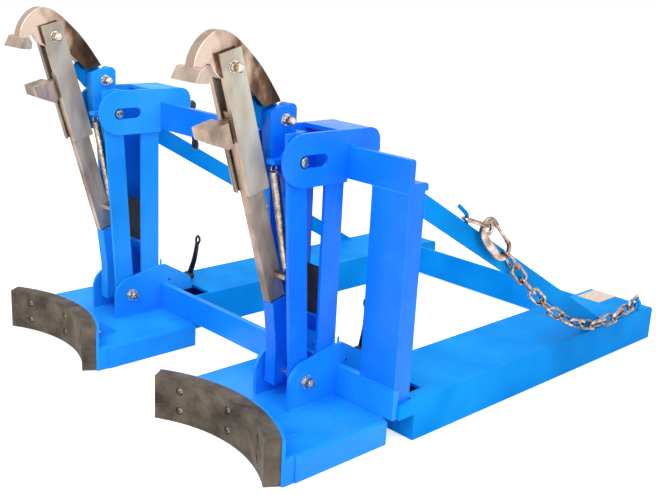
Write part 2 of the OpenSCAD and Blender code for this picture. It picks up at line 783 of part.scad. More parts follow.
module spring(x) {
    rings = 8;
    sides = 6;
    top = [spring_x, spring_top[0], spring_top[1]];
    low = [spring_x, spring_low[0], spring_low[1]];
    axis = (top - low) / norm(top - low);
    u = [1, 0, 0];
    v = cross(axis, u);
    r = (spring_d - spring_wire) / 2;
    run = spring_wire + 0.5;
    body = norm(top - low) - 2 * run - 2 * spring_wire;
    start = low + axis * (run + spring_wire);
    coil = [for (k = [0 : spring_curls * rings])
        spring_point(k, start, u, v, axis, r, body, rings)];
    path = concat([low + r * u, low + axis * run + r * u], coil,
        [top - axis * run + r * u, top + r * u]);
    n = len(path);
    tangent = [for (i = [0 : n - 1]) let (d = path[min(i + 1, n - 1)] - path[max(i - 1, 0)]) d / norm(d)];
    function ring(i) = let (t = i < 2 || i > n - 3 ? axis : tangent[i],
        out = i < 2 || i > n - 3 ? u : let (c = start + axis * ((path[i] - start) * axis))
            (path[i] - c) / norm(path[i] - c),
        side = cross(t, out))
        [for (s = [0 : sides - 1]) path[i] + spring_wire / 2
            * (cos(360 * s / sides) * out + sin(360 * s / sides) * side)];
    points = [for (i = [0 : n - 1]) each ring(i)];
    walls = [for (i = [0 : n - 2], s = [0 : sides - 1]) let (a = i * sides + s,
        b = i * sides + (s + 1) % sides) each [[a, b, a + sides], [b, b + sides, a + sides]]];
    ends = concat([for (s = [1 : sides - 2]) [0, s + 1, s]],
        [for (s = [1 : sides - 2]) [(n - 1) * sides, (n - 1) * sides + s, (n - 1) * sides + s + 1]]);
    gap = min([for (i = [2 : n - 3], j = [i + rings - 1 : min(i + rings + 1, n - 3)])
        norm(path[i] - path[j])]) - spring_wire;
    echo(str("least gap between curls ", gap));
    color(zinc) grip(x) polyhedron(points, concat(walls, ends), convexity = 10);
}

// Clamp screw with its lever and eyelet; the lever turns about Y.
module clamp_screw(x, z, lever, turn) {
    color(black) grip(x) translate([0, 0, z]) rotate([0, turn, 0]) union() {
        y_pin(0, cross_t + 0.5, screw_rear, screw_d / 2, 0);
        y_pin(0, lever_y - 9, lever_y + 9, 12, 0);
        translate([0, lever_y, 0]) cylinder(d1 = 15, d2 = 11, h = lever - 10);
        translate([0, lever_y, lever - 10]) rotate([90, 0, 0])
            rotate_extrude() translate([7, 0]) circle(d = 7);
    }
}

// The object

upper_cross_plate();
lower_cross_plate();
post(1);  // post_right
post(-1);  // post_left
strut(1);  // strut_right
strut(-1);  // strut_left
sleeve(1);  // sleeve_right
sleeve(-1);  // sleeve_left
rear_cross_member();
blank_plate();
chain_hook();
chain_eye();
safety_chain();
snap_hook();
snap_gate();
head_plates(right_x);  // head_plates_right
head_plates(left_x);  // head_plates_left
lug_plates(right_x);  // lug_plates_right
lug_plates(left_x);  // lug_plates_left
column(right_x);  // column_right
column(left_x);  // column_left
base_tray(right_x);  // base_tray_right
base_tray(left_x);  // base_tray_left
pad_band(right_x);  // pad_band_right
pad_band(left_x);  // pad_band_left
rubber_pad(right_x);  // rubber_pad_right
rubber_pad(left_x);  // rubber_pad_left
pad_screws(right_x);  // pad_screws_right
pad_screws(left_x);  // pad_screws_left
buffer(right_x);  // buffer_right
buffer(left_x);  // buffer_left
arm(right_x);  // arm_right
arm(left_x);  // arm_left
pivot_pin(right_x);  // pivot_pin_right
pivot_pin(left_x);  // pivot_pin_left
slot_pin(right_x);  // slot_pin_right
slot_pin(left_x);  // slot_pin_left
beak(right_x);  // beak_right
beak(left_x);  // beak_left
arm_bolt(right_x);  // arm_bolt_right
arm_bolt(left_x);  // arm_bolt_left
beak_bolt(right_x);  // beak_bolt_right
beak_bolt(left_x);  // beak_bolt_left
guide(right_x);  // guide_right
guide(left_x);  // guide_left
slider(right_x);  // slider_right
slider(left_x);  // slider_left
lower_jaw(right_x);  // lower_jaw_right
lower_jaw(left_x);  // lower_jaw_left
spring(right_x);  // spring_right
spring(left_x);  // spring_left
clamp_screw(right_x, lower_screw_z, lower_lever, lower_turn_right);  // lower_screw_right
clamp_screw(left_x, lower_screw_z, lower_lever, lower_turn_left);  // lower_screw_left
clamp_screw(right_x, upper_screw_z, upper_lever, upper_turn);  // upper_screw_right
clamp_screw(left_x, upper_screw_z, upper_lever, upper_turn);  // upper_screw_left
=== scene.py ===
"""Looks of a fork-mounted twin drum gripper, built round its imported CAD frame.

Sizes are millimetres in the truck frame of the CAD source: X = 0 is the middle
of the truck frame, Y = 0 the front of the cross plates, Z = 0 the floor. Each
finished mesh is moved into the row frame, in metres, by one shift.
"""

import json
import logging
import math
from dataclasses import dataclass
from enum import Enum

import bmesh
import bpy
from mathutils import Matrix, Vector

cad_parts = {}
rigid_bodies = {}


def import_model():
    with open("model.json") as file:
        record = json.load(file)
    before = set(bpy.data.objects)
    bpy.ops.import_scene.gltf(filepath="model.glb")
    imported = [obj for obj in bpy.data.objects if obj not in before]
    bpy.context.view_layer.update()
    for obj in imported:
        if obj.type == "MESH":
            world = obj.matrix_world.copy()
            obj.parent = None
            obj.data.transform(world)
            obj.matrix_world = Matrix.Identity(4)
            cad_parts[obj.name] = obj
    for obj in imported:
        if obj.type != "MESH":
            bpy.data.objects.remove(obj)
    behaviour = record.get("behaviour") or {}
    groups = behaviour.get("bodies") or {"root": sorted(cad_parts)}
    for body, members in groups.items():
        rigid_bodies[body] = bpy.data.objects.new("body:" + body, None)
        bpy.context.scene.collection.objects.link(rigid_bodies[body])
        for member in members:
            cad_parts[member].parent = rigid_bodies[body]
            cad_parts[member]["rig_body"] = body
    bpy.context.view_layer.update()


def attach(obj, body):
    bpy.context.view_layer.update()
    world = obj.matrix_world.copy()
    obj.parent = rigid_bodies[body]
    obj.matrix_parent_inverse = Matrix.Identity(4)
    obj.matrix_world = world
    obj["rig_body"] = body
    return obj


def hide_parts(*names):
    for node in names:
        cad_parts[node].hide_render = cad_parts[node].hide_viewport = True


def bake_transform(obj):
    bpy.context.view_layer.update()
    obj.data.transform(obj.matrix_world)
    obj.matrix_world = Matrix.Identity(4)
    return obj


log = logging.getLogger("gripper")

Point = tuple[float, float, float]
Flat = tuple[float, float]
Node = bpy.types.Node
Material = bpy.types.Material
Piece = bpy.types.Object
Mesh = bmesh.types.BMesh

MM = 0.001
SHIFT = Vector((52.0, -314.5, 0.0))
RIGHT_X, LEFT_X = 229.5, -370.5
ARM_LEAN, GUIDE_LEAN = math.radians(3.54), math.radians(16.0)
PIVOT = (-79.0, 100.0)
GUIDE_FOOT = (-186.0, 457.0)
BEAK_X = -20.0
# angle above which an edge of a CAD solid is eased, in degrees
EASED_ABOVE = 32.0
# points closer than this are one: in a mesh in millimetres, and in a CAD solid in metres
SAME_MM, SAME_M = 0.002, 1e-6
# faces of an upright plate whose normal has less X than this are its rim, which gets painted shade
RIM_BELOW = 0.5
# parts of each rounded corner of an outline
ROUND_PARTS = 5


def on_arm(up: float, fore: float) -> Flat:
    """A (y, z) point on the arm, up from its pivot and fore of its axis."""
    s, c = math.sin(ARM_LEAN), math.cos(ARM_LEAN)
    return (PIVOT[0] - up * s - fore * c, PIVOT[1] + up * c - fore * s)


def on_guide(up: float, deep: float) -> Flat:
    """A (y, z) point on the guide, up from its foot and into its depth."""
    s, c = math.sin(GUIDE_LEAN), math.cos(GUIDE_LEAN)
    return (GUIDE_FOOT[0] - up * s + deep * c, GUIDE_FOOT[1] + up * c + deep * s)


SLOT_PIN = on_arm(418.8, 0.0)
ARM_BOLT = on_arm(486.0, 0.0)
BEAK_BOLT = on_guide(224.0, 23.0)


class Side(Enum):
    """The two grippers, by the X of their middle plane."""

    RIGHT = RIGHT_X
    LEFT = LEFT_X

    @property
    def tag(self) -> str:
        """Suffix of the side's CAD nodes and bodies."""
        return self.name.lower()


class Screw(Enum):
    """The clamp screws of a gripper: height of the axis, length of the lever, bar of its eyelet."""

    LOWER = (97.0, 118.0, 3.1)
    UPPER = (518.0, 104.0, 4.4)


# node work


def linear(code: str) -> tuple[float, float, float, float]:
    """Turns an sRGB hex colour into the four linear values of a socket.

    Args:
        code: the colour, such as "#1b7df2".

    Returns:
        Red, green and blue from 0 to 1, and 1 for opaque.
    """
    raw = [int(code[i : i + 2], 16) / 255 for i in (1, 3, 5)]
    low = [c / 12.92 if c <= 0.04045 else ((c + 0.055) / 1.055) ** 2.4 for c in raw]
    return (*low, 1.0)


class Graph:
    """A node tree under construction."""

    def __init__(self, tree: bpy.types.NodeTree) -> None:
        """Takes the tree over and empties it."""
        self.tree = tree
        tree.nodes.clear()

    def add(self, kind: str, inputs: dict | None = None, **settings: str | bool | int) -> Node:
        """Adds a node with its settings, values and links.

        Args:
            kind: the node's type name.
            inputs: values, output sockets or nodes (for their first output) by input name or number.
            settings: properties of the node itself.

        Returns:
            The new node.
        """
        made = self.tree.nodes.new(kind)
        for name, value in settings.items():
            setattr(made, name, value)
        for key, value in (inputs or {}).items():
            if isinstance(value, bpy.types.Node):
                value = value.outputs[0]
            if isinstance(value, bpy.types.NodeSocket):
                self.tree.links.new(value, made.inputs[key])
            else:
                made.inputs[key].default_value = value
        return made


class Surface(Graph):
    """A material under construction: one Principled shader on Object coordinates."""

    def __init__(self, name: str, metallic: float, roughness: float, **sockets: float) -> None:
        """Starts the material.

        Args:
            name: the material's name.
            metallic: share of bare metal, 0 to 1.
            roughness: even roughness before any pattern.
            sockets: other values set on the shader's own sockets.
        """
        self.material = bpy.data.materials.new(name)
        self.material.use_nodes = True
        super().__init__(self.material.node_tree)
        values = {"Metallic": metallic, "Roughness": roughness, **sockets}
        self.shader = self.add("ShaderNodeBsdfPrincipled", values)
        self.add("ShaderNodeOutputMaterial", {"Surface": self.shader})
        self.place = self.add("ShaderNodeTexCoord").outputs["Object"]

    def cloud(self, grain_mm: float, detail: float, stretch: Point = (1, 1, 1), lean: float = 0.0) -> Node:
        """Cloudy pattern whose blobs are about grain_mm across.

        Args:
            grain_mm: size of the blobs in millimetres.
            detail: finer octaves.
            stretch: scale by axis, below 1 for streaks along that axis.
            lean: turn of the pattern about X in degrees.

        Returns:
            The pattern, 0 to 1.
        """
        turn = (math.radians(lean), 0, 0)
        turned = self.add("ShaderNodeMapping", {"Vector": self.place, "Rotation": turn, "Scale": stretch})
        return self.add("ShaderNodeTexNoise", {"Vector": turned, "Scale": 1000 / grain_mm, "Detail": detail})

    def tint(self, pattern: Node, *stops: tuple[float, str], flecks: tuple | None = None) -> None:
        """Sets the base colour by a pattern.

        Args:
            pattern: the pattern.
            stops: its values with their sRGB colours.
            flecks: a second pattern, the values where it starts and is full, its greatest share
                and its sRGB colour.
        """
        ramp = self.add("ShaderNodeValToRGB", {"Fac": pattern})
        points = ramp.color_ramp.elements
        while len(points) < len(stops):
            points.new(0.5)
        for point, (position, code) in zip(points, stops):
            point.position, point.color = position, linear(code)
        tone = ramp.outputs[0]
        if flecks:
            over, start, full, most, code = flecks
            span = {"Value": over, "From Min": start, "From Max": full, "To Max": most}
            both = {0: self.add("ShaderNodeMapRange", span), 6: tone, 7: linear(code)}
            tone = self.add("ShaderNodeMix", both, data_type="RGBA").outputs[2]
        self.tree.links.new(tone, self.shader.inputs["Base Color"])

    def polish(self, pattern: Node, low: float, high: float, start: float = 0.3, end: float = 0.7) -> None:
        """Sets the roughness by a pattern.

        Args:
            pattern: the pattern.
            low: roughness up to the start.
            high: roughness from the end on.
            start: value of the pattern where the roughness starts to rise.
            end: its value where the rise ends.
        """
        span = {"Value": pattern, "From Min": start, "From Max": end, "To Min": low, "To Max": high}
        made = self.add("ShaderNodeMapRange", span)
        self.tree.links.new(made.outputs[0], self.shader.inputs["Roughness"])

    def relief(self, *layers: tuple[Node, float]) -> None:
        """Adds relief.

        Args:
            layers: patterns with their heights in millimetres.
        """
        under = {"Strength": 1.0}
        for pattern, height in layers:
            made = self.add("ShaderNodeBump", {"Height": pattern, "Distance": height * MM, **under})
            under["Normal"] = made
        self.tree.links.new(made.outputs[0], self.shader.inputs["Normal"])


@dataclass(frozen=True)
class PowderCoat:
    """Powder coat on steel: even bright blue with orange peel and dulled handling marks."""

    body: str = "#1490fa"
    deep: str = "#0c84ee"
    light: str = "#259cff"
    peel_mm: float = 2.6
    ior: float = 1.26
    rough_low: float = 0.22
    speck: str = "#3aa4ff"
    cloud_mm: float = 170.0
    speck_mm: float = 1.6
    handled_mm: float = 38.0
    wave_mm: float = 42.0

    def make(self, name: str) -> Material:
        """Builds the coat.

        Args:
            name: the material's name.

        Returns:
            The material.
        """
        # a filled coat shines less than clear lacquer, so its IOR is below 1.5
        s = Surface(name, 0.0, self.rough_low, IOR=self.ior)
        stops = ((0.32, self.deep), (0.5, self.body), (0.7, self.light))
        specks = (s.cloud(self.speck_mm, 1), 0.7, 0.76, 1.0, self.speck)
        s.tint(s.cloud(self.cloud_mm, 2), *stops, flecks=specks)
        s.polish(s.cloud(self.handled_mm, 5), self.rough_low, self.rough_low + 0.18, 0.35, 0.75)
        # orange peel is finer than this on the real coat; drawn coarse enough to show
        s.relief((s.cloud(self.peel_mm, 1), 0.05), (s.cloud(self.wave_mm, 2), 0.25))
        return s.material


@dataclass(frozen=True)
class BrightSteel:
    """Ground stainless plate: warm bright metal with long fine grinding and smoky tarnish."""

    light: str = "#e0cdbf"
    mid: str = "#c0ab9b"
    smoke: str = "#84705f"
    smoke_from: float = 0.58
    rough_low: float = 0.24
    rough_high: float = 0.46
    metallic: float = 0.8
    scratch: str = "#a79c8e"
    lean: float = -16.0
    tarnish_mm: float = 52.0
    grain_mm: float = 1.1
    rub_mm: float = 9.0
    wave_mm: float = 16.0

    def make(self, name: str) -> Material:
        """Builds the metal; a dull skin lowers its metallic share.

        Args:
            name: the material's name.

        Returns:
            The material.
        """
        s = Surface(name, self.metallic, self.rough_low)
        # grinding lines are finer than this on the real plate; drawn coarse enough to show
        grain = s.cloud(self.grain_mm, 3, (1, 1, 0.03), self.lean)
        stops = ((0.3, self.light), (0.5, self.mid), (self.smoke_from + 0.12, self.smoke))
        tarnish = s.cloud(self.tarnish_mm, 4, (1, 1, 0.45), self.lean)
        s.tint(tarnish, *stops, flecks=(grain, 0.3, 0.7, 0.35, self.scratch))
        s.polish(s.cloud(self.rub_mm, 4, (1, 1, 0.2), self.lean), self.rough_low, self.rough_high)
        s.relief((grain, 0.012), (s.cloud(self.wave_mm, 2), 0.06))
        return s.material


@dataclass(frozen=True)
class SmokedSteel:
    """The beak's hardened plate: bright at the nose, straw and brown heat colour behind."""

    bright: str = "#e8cfbe"
    straw: str = "#bca08c"
    brown: str = "#6b5243"
    dark: str = "#3a2d26"
    from_y: float = -0.585
    reach_y: float = 0.135
    lean: float = -40.0
    patch_mm: float = 34.0
    grain_mm: float = 1.3

    def make(self, name: str) -> Material:
        """Builds the metal; its heat colour grows to the rear along Y, in metres.

        Args:
            name: the material's name.

        Returns:
            The material.
        """
        s = Surface(name, 1.0, 0.16)
        y = s.add("ShaderNodeSeparateXYZ", {0: s.place}).outputs["Y"]
        span = {"Value": y, "From Min": self.from_y, "From Max": self.from_y + self.reach_y, "To Max": 0.72}
        along = s.add("ShaderNodeMapRange", span)
        patches = s.cloud(self.patch_mm, 5, (1, 1, 0.6), self.lean)
        span = {"Value": patches, "From Min": 0.25, "From Max": 0.75, "To Min": -0.28, "To Max": 0.42}
        uneven = s.add("ShaderNodeMapRange", span)
        heat = s.add("ShaderNodeMath", {0: along, 1: uneven}, operation="ADD")
        s.tint(heat, (0.12, self.bright), (0.36, self.straw), (0.58, self.brown), (0.9, self.dark))
        s.polish(s.cloud(6, 4), 0.1, 0.26)
        s.relief((s.cloud(self.grain_mm, 2, (1, 1, 0.1), self.lean), 0.012), (s.cloud(22, 2), 0.1))
        return s.material


@dataclass(frozen=True)
class ZincPlate:
    """Zinc on wire and small parts: random pale and dark brown patches, painted highlights and painted dark
    reflections.
    """

    # light is a painted highlight and dark a painted dark reflection
    light: str = "#d3c4b8"
    mid: str = "#a08a7a"
    dark: str = "#705a4b"
    blob_mm: float = 16.0
    rough_low: float = 0.14

    def make(self, name: str) -> Material:
        """Builds the plating.

        Args:
            name: the material's name.

        Returns:
            The material.
        """
        s = Surface(name, 1.0, self.rough_low)
        # random patches of painted highlight and painted dark reflection
        s.tint(s.cloud(self.blob_mm, 2), (0.32, self.dark), (0.5, self.mid), (0.7, self.light))
        s.polish(s.cloud(5, 2), self.rough_low, self.rough_low + 0.12)
        s.relief((s.cloud(1.2, 3), 0.01), (s.cloud(9, 1), 0.05))
        return s.material


@dataclass(frozen=True)
class BoltSteel:
    """Turned bolt steel, oiled yellow-brown on the heads and pale on the shanks."""

    pale: str = "#d9cfc0"
    oil: str = "#9a6f3e"
    share: float = 0.55

    def make(self, name: str) -> Material:
        """Builds the steel.

        Args:
            name: the material's name.

        Returns:
            The material.
        """
        s = Surface(name, 1.0, 0.24)
        s.tint(s.cloud(5, 4), (self.share - 0.2, self.oil), (self.share + 0.12, self.pale))
        s.polish(s.cloud(2, 3), 0.18, 0.36)
        s.relief((s.cloud(0.9, 2), 0.02))
        return s.material


@dataclass(frozen=True)
class Rubber:
    """Moulded rubber with a matt skin, scuffed paler along its rubbed faces."""

    body: str = "#544a3f"
    scuff: str = "#73685a"
    dark: str = "#2f2620"

    def make(self, name: str) -> Material:
        """Builds the rubber.

        Args:
            name: the material's name.

        Returns:
            The material.
        """
        s = Surface(name, 0.0, 0.7, IOR=1.4)
        streaks = (s.cloud(2.2, 4, (0.2, 0.2, 1.0)), 0.55, 0.72, 0.45, self.scuff)
        s.tint(s.cloud(46, 6), (0.3, self.dark), (0.5, self.body), (0.74, self.scuff), flecks=streaks)
        s.polish(s.cloud(12, 4), 0.6, 0.8)
        s.relief((s.cloud(1.7, 5), 0.12), (s.cloud(24, 3), 0.5))
        return s.material


@dataclass(frozen=True)
class BlackLacquer:
    """Thin black lacquer on forged levers, with warm lighter patches at random: worn metal and painted
    highlights.
    """

    coat: str = "#15130f"
    thin: str = "#2a241d"
    worn: str = "#6b5a49"

    def make(self, name: str) -> Material:
        """Builds the lacquer.

        Args:
            name: the material's name.

        Returns:
            The material.
        """
        s = Surface(name, 0.0, 0.3, IOR=1.5)
        # the worn stop gives warm lighter patches, partly worn metal and partly painted highlights
        s.tint(s.cloud(9, 5), (0.5, self.coat), (0.66, self.thin), (0.8, self.worn))
        s.polish(s.cloud(4, 3), 0.2, 0.42)
        s.relief((s.cloud(3, 3), 0.08))
        return s.material


@dataclass(frozen=True)
class BarePlate:
    """Satin aluminium blank, brushed along its length."""

    tone: str = "#ecdacd"
    line: str = "#cbb6a6"

    def make(self, name: str) -> Material:
        """Builds the satin metal.

        Args:
            name: the material's name.

        Returns:
            The material.
        """
        s = Surface(name, 0.7, 0.42)
        # brush lines are finer than this on a real plate; drawn coarse enough to show
        brush = s.cloud(0.9, 2, (1, 0.04, 1))
        s.tint(brush, (0.35, self.line), (0.65, self.tone))
        s.polish(s.cloud(14, 3), 0.36, 0.5)
        s.relief((brush, 0.02))
        return s.material


class Finishes:
    """Every finish of the object, made once."""

    def __init__(self) -> None:
        """Makes the materials."""
        self.blue = PowderCoat().make("blue_powder_coat")
        self.deep_blue = PowderCoat("#0a78f6", "#0a70ec", "#1a84fc").make("blue_coat_of_the_frame")
        worn = PowderCoat("#028ee6", "#0280d4", "#149cf0", peel_mm=3.4, ior=1.08, rough_low=0.4)
        self.worn_blue = worn.make("blue_coat_handled")
        left = PowderCoat("#229cfa", "#1890ee", "#34a6ff", peel_mm=3.0, ior=1.14, rough_low=0.34)
        self.azure = left.make("blue_coat_of_the_left")
        self.bright = BrightSteel().make("bright_steel")
        # rubbed steel: the lower jaw's worn finish, and painted shade on the guide's and slider's rims
        rubbed = BrightSteel("#d8c0ad", "#ad9380", "#6f5a4a", smoke_from=0.52, rough_low=0.26, rough_high=0.5)
        self.rubbed = rubbed.make("rubbed_steel")
        pale = BrightSteel("#cbc9b8", "#b3a999", "#8a7768", rough_low=0.34, rough_high=0.55, metallic=0.5)
        self.pale = pale.make("pale_steel")
        self.smoked = SmokedSteel().make("smoked_steel")
        # a darker, browner copy of the beak's steel for its rims: painted shade
        self.rim = SmokedSteel("#bda392", "#927968", "#5d493c", from_y=-0.6).make("smoked_rim")
        # the zinc finishes carry painted highlights in their light tone and painted dark reflections in their
        # dark tone
        self.zinc = ZincPlate().make("zinc_plate")
        forged = ZincPlate("#d8c9be", "#ab9587", "#7a6455", blob_mm=26.0, rough_low=0.16)
        self.forged = forged.make("forged_zinc")
        dusty = ZincPlate("#aaa094", "#8a8074", "#6b6156", blob_mm=5.0, rough_low=0.4)
        self.dusty = dusty.make("dusty_screw")
        spring = ZincPlate("#e4dacd", "#c2b3a2", "#a39281", blob_mm=12.0, rough_low=0.22)
        self.spring = spring.make("spring_wire")
        self.bolt = BoltSteel().make("oiled_bolt_steel")
        self.pin = BoltSteel("#e9e6df", "#a9a294", share=0.4).make("turned_pin_steel")
        # a darker, greenish grey steel for the slot pin
        self.greased = BoltSteel("#a3ada4", "#59625a", share=0.5).make("greased_pin_steel")
        self.pad = Rubber().make("belly_pad_rubber")
        # the buffer rubber is a darker copy of the pad rubber: painted shade
        self.buffer = Rubber("#2b2622", "#433b35", "#181513").make("buffer_rubber")
        self.lever = BlackLacquer().make("black_lacquer")
        self.plate = BarePlate().make("bare_aluminium")


# mesh work


def in_scene(name: str, data: bpy.types.ID) -> Piece:
    """Makes an object and links it to the scene.

    Args:
        name: its name.
        data: its mesh, lamp or camera.

    Returns:
        The object.
    """
    made = bpy.data.objects.new(name, data)
    bpy.context.scene.collection.objects.link(made)
    return made


def finish_mesh(name: str, bm: Mesh, material: Material, edge: float = 0.0, sharp: float = 35.0) -> Piece:
    """Turns truck-frame millimetres into a finished piece in the row frame.

    Args:
        name: the piece's name.
        bm: its mesh, which is used up.
        material: its finish.
        edge: radius of the eased edges in millimetres, or 0.
        sharp: angle in degrees above which an edge stays sharp.

    Returns:
        The new object, at the origin.
    """
    bmesh.ops.remove_doubles(bm, verts=bm.verts, dist=SAME_MM)
    bmesh.ops.recalc_face_normals(bm, faces=bm.faces)
    bmesh.ops.translate(bm, verts=bm.verts, vec=SHIFT)
    bmesh.ops.scale(bm, verts=bm.verts, vec=(MM, MM, MM))
    return new_piece(name, bm, material, edge, sharp)


def new_piece(name: str, bm: Mesh, material: Material, edge: float, sharp: float) -> Piece:
    """Makes an object of a mesh that is already in the row frame, in metres.

    Args:
        name: the piece's name.
        bm: the mesh, which is freed.
        material: its finish.
        edge: radius of the eased edges in millimetres, or 0.
        sharp: angle in degrees above which an edge stays sharp.

    Returns:
        The new object, at the origin.
    """
    mesh = bpy.data.meshes.new(name)
    bm.to_mesh(mesh)
    bm.free()
    mesh.materials.clear()
    mesh.materials.append(material)
    mesh.shade_smooth()
    mesh.set_sharp_from_angle(angle=math.radians(sharp))
    piece = in_scene(name, mesh)
    if edge > 0:
        ease = piece.modifiers.new("eased_edges", "BEVEL")
        ease.width, ease.segments, ease.limit_method = edge * MM, 2, "ANGLE"
        ease.angle_limit, ease.harden_normals = math.radians(sharp), True
        ease.use_clamp_overlap = True
    return piece


def rim_finish(piece: Piece, material: Material) -> None:
    """Gives an upright piece's rims, which don't face along X, a darker finish of their own: painted shade on
    the faces turned away from the sides.

    Args:
        piece: the piece.
        material: the darker finish of its rims, their painted shade.
    """
    piece.data.materials.append(material)
    # faces turned away from X get the darker material: painted shade
    for face in piece.data.polygons:
        face.material_index = int(abs(face.normal.x) < RIM_BELOW)


def join_meshes(name: str, *pieces: Piece) -> Piece:
    """Joins finished objects into one and keeps their materials.

    Args:
        name: the new piece's name.
        pieces: the objects, which are removed.

    Returns:
        The new piece.
    """
    target = bmesh.new()
    slots: list[Material] = []
    graph = bpy.context.evaluated_depsgraph_get()
    for piece in pieces:
        mesh = bpy.data.meshes.new_from_object(piece.evaluated_get(graph))
        slots += [material for material in piece.data.materials if material not in slots]
        numbers = [slots.index(material) for material in piece.data.materials]
        for face in mesh.polygons:
            face.material_index = numbers[face.material_index]
        target.from_mesh(mesh)
        bpy.data.meshes.remove(mesh)
    mesh = bpy.data.meshes.new(name)
    target.to_mesh(mesh)
    target.free()
    for material in slots:
        mesh.materials.append(material)
    for piece in pieces:
        bpy.data.objects.remove(piece)
    return in_scene(name, mesh)


def outline_plate(bm: Mesh, outline: list[Flat], x0: float, x1: float) -> None:
    """Adds a closed plate that stands in the YZ plane.

    Args:
        bm: the mesh.
        outline: its (y, z) points.
        x0: X of its right face.
        x1: X of its left face.
    """
    rings = [[bm.verts.new((x, y, z)) for y, z in outline] for x in (x0, x1)]
    bm.faces.new(rings[0])
    bm.faces.new(rings[1][::-1])
    for i in range(len(outline)):
        j = (i + 1) % len(outline)
        bm.faces.new((rings[0][i], rings[1][i], rings[1][j], rings[0][j]))


def rounded(points: list[tuple[float, float, float]]) -> list[Flat]:
    """Rounds the corners of a closed outline.

    Args:
        points: (y, z, radius) of each corner.

    Returns:
        The outline's points.
    """
    out: list[Flat] = []
    count = len(points)
    for i, (y, z, radius) in enumerate(points):
        here = Vector((y, z))
        before = Vector(points[i - 1][:2]) - here
        after = Vector(points[(i + 1) % count][:2]) - here
        half = before.angle(after) / 2
        reach = min(radius / math.tan(half), before.length * 0.48, after.length * 0.48)
        a, b = here + before.normalized() * reach, here + after.normalized() * reach
        for k in range(ROUND_PARTS + 1):
            t = k / ROUND_PARTS
            point = a * (1 - t) ** 2 + here * 2 * t * (1 - t) + b * t**2
            out.append((point.x, point.y))
    return out


def bridge(bm: Mesh, rings: list[list[bmesh.types.BMVert]]) -> None:
    """Joins rings of points by quads and closes the first and the last.

    Args:
        bm: the mesh.
        rings: the rings, each with the same count of points.
    """
    for low, high in zip(rings, rings[1:]):
        for k in range(len(low)):
            n = (k + 1) % len(low)
            bm.faces.new((low[k], low[n], high[n], high[k]))
    bm.faces.new(rings[0][::-1])
    bm.faces.new(rings[-1])


def lathe(bm: Mesh, start: Point, axis: Point, profile: list[Flat], sides: int = 28) -> None:
    """Adds a turned body.

    Args:
        bm: the mesh.
        start: point on the axis where the profile's height is 0.
        axis: direction of the axis.
        profile: (height, radius) points from end to end.
        sides: faces round the axis.
    """
    turn = Vector(axis).to_track_quat("Z", "Y").to_matrix()
    rings = []
    for height, radius in profile:
        ring = []
        for k in range(sides):
            a = 2 * math.pi * k / sides
            spot = Vector((radius * math.cos(a), radius * math.sin(a), height))
            ring.append(bm.verts.new(Vector(start) + turn @ spot))
        rings.append(ring)
    bridge(bm, rings)


def hexagon(bm: Mesh, start: Point, axis: Point, across: float, height: float) -> None:
    """Adds a six-sided nut or head with chamfered corners.

    Args:
        bm: the mesh.
        start: middle of its foot.
        axis: direction of the axis.
        across: its width over the corners.
        height: its height.
    """
    r, chamfer = across / 2, height * 0.12
    lathe(bm, start, axis, [(0, r * 0.9), (chamfer, r), (height - chamfer, r), (height, r * 0.88)], 6)


def sweep(
    bm: Mesh,
    path: list[Vector],
    radii: list[float],
    sides: int = 12,
    flat: float = 1.0,
    wide: list[float] | None = None,
    square: float = 1.0,
) -> None:
    """Adds a bar along a path.

    Args:
        bm: the mesh.
        path: its middle line.
        radii: radius at each point.
        sides: faces round the bar.
        flat: thickness across as a share of the radius, below 1 for a flattened bar.
        wide: half width at each point in the path's own plane, for a bar in a plane of constant X.
        square: 1 for a round section, below 1 for a boxier one.
    """
    normal = None if wide is None else Vector((1, 0, 0))
    rings = []
    for i, point in enumerate(path):
        ahead = (path[min(i + 1, len(path) - 1)] - path[max(i - 1, 0)]).normalized()
        if normal is None:
            normal = ahead.orthogonal().normalized()
        normal = (normal - ahead * normal.dot(ahead)).normalized()
        other = ahead.cross(normal)
        across = radii[i] * flat if wide is None else wide[i]
        ring = []
        for k in range(sides):
            c, s = math.cos(2 * math.pi * k / sides), math.sin(2 * math.pi * k / sides)
            c, s = (math.copysign(abs(v) ** square, v) for v in (c, s))
            ring.append(bm.verts.new(point + normal * radii[i] * c + other * across * s))
        rings.append(ring)
    bridge(bm, rings)


def spline(points: list[Point], per_span: int = 6) -> list[Vector]:
    """A smooth line through the points.

    Args:
        points: the points.
        per_span: parts between two of them.

    Returns:
        The points of the line.
    """
    knots = [Vector(p) for p in points]
    out = []
    for i in range(len(knots) - 1):
        a, b = knots[max(i - 1, 0)], knots[i]
        c, d = knots[i + 1], knots[min(i + 2, len(knots) - 1)]
        for k in range(per_span):
            t = k / per_span
            bend = (2 * a - 5 * b + 4 * c - d) * t**2 + (3 * b - a - 3 * c + d) * t**3
            out.append(0.5 * (2 * b + (c - a) * t + bend))
    out.append(knots[-1])
    return out


def flat_spline(points: list[Flat], per_span: int) -> list[Flat]:
    """A smooth line through (y, z) points."""
    return [(p.y, p.z) for p in spline([(0.0, y, z) for y, z in points], per_span)]


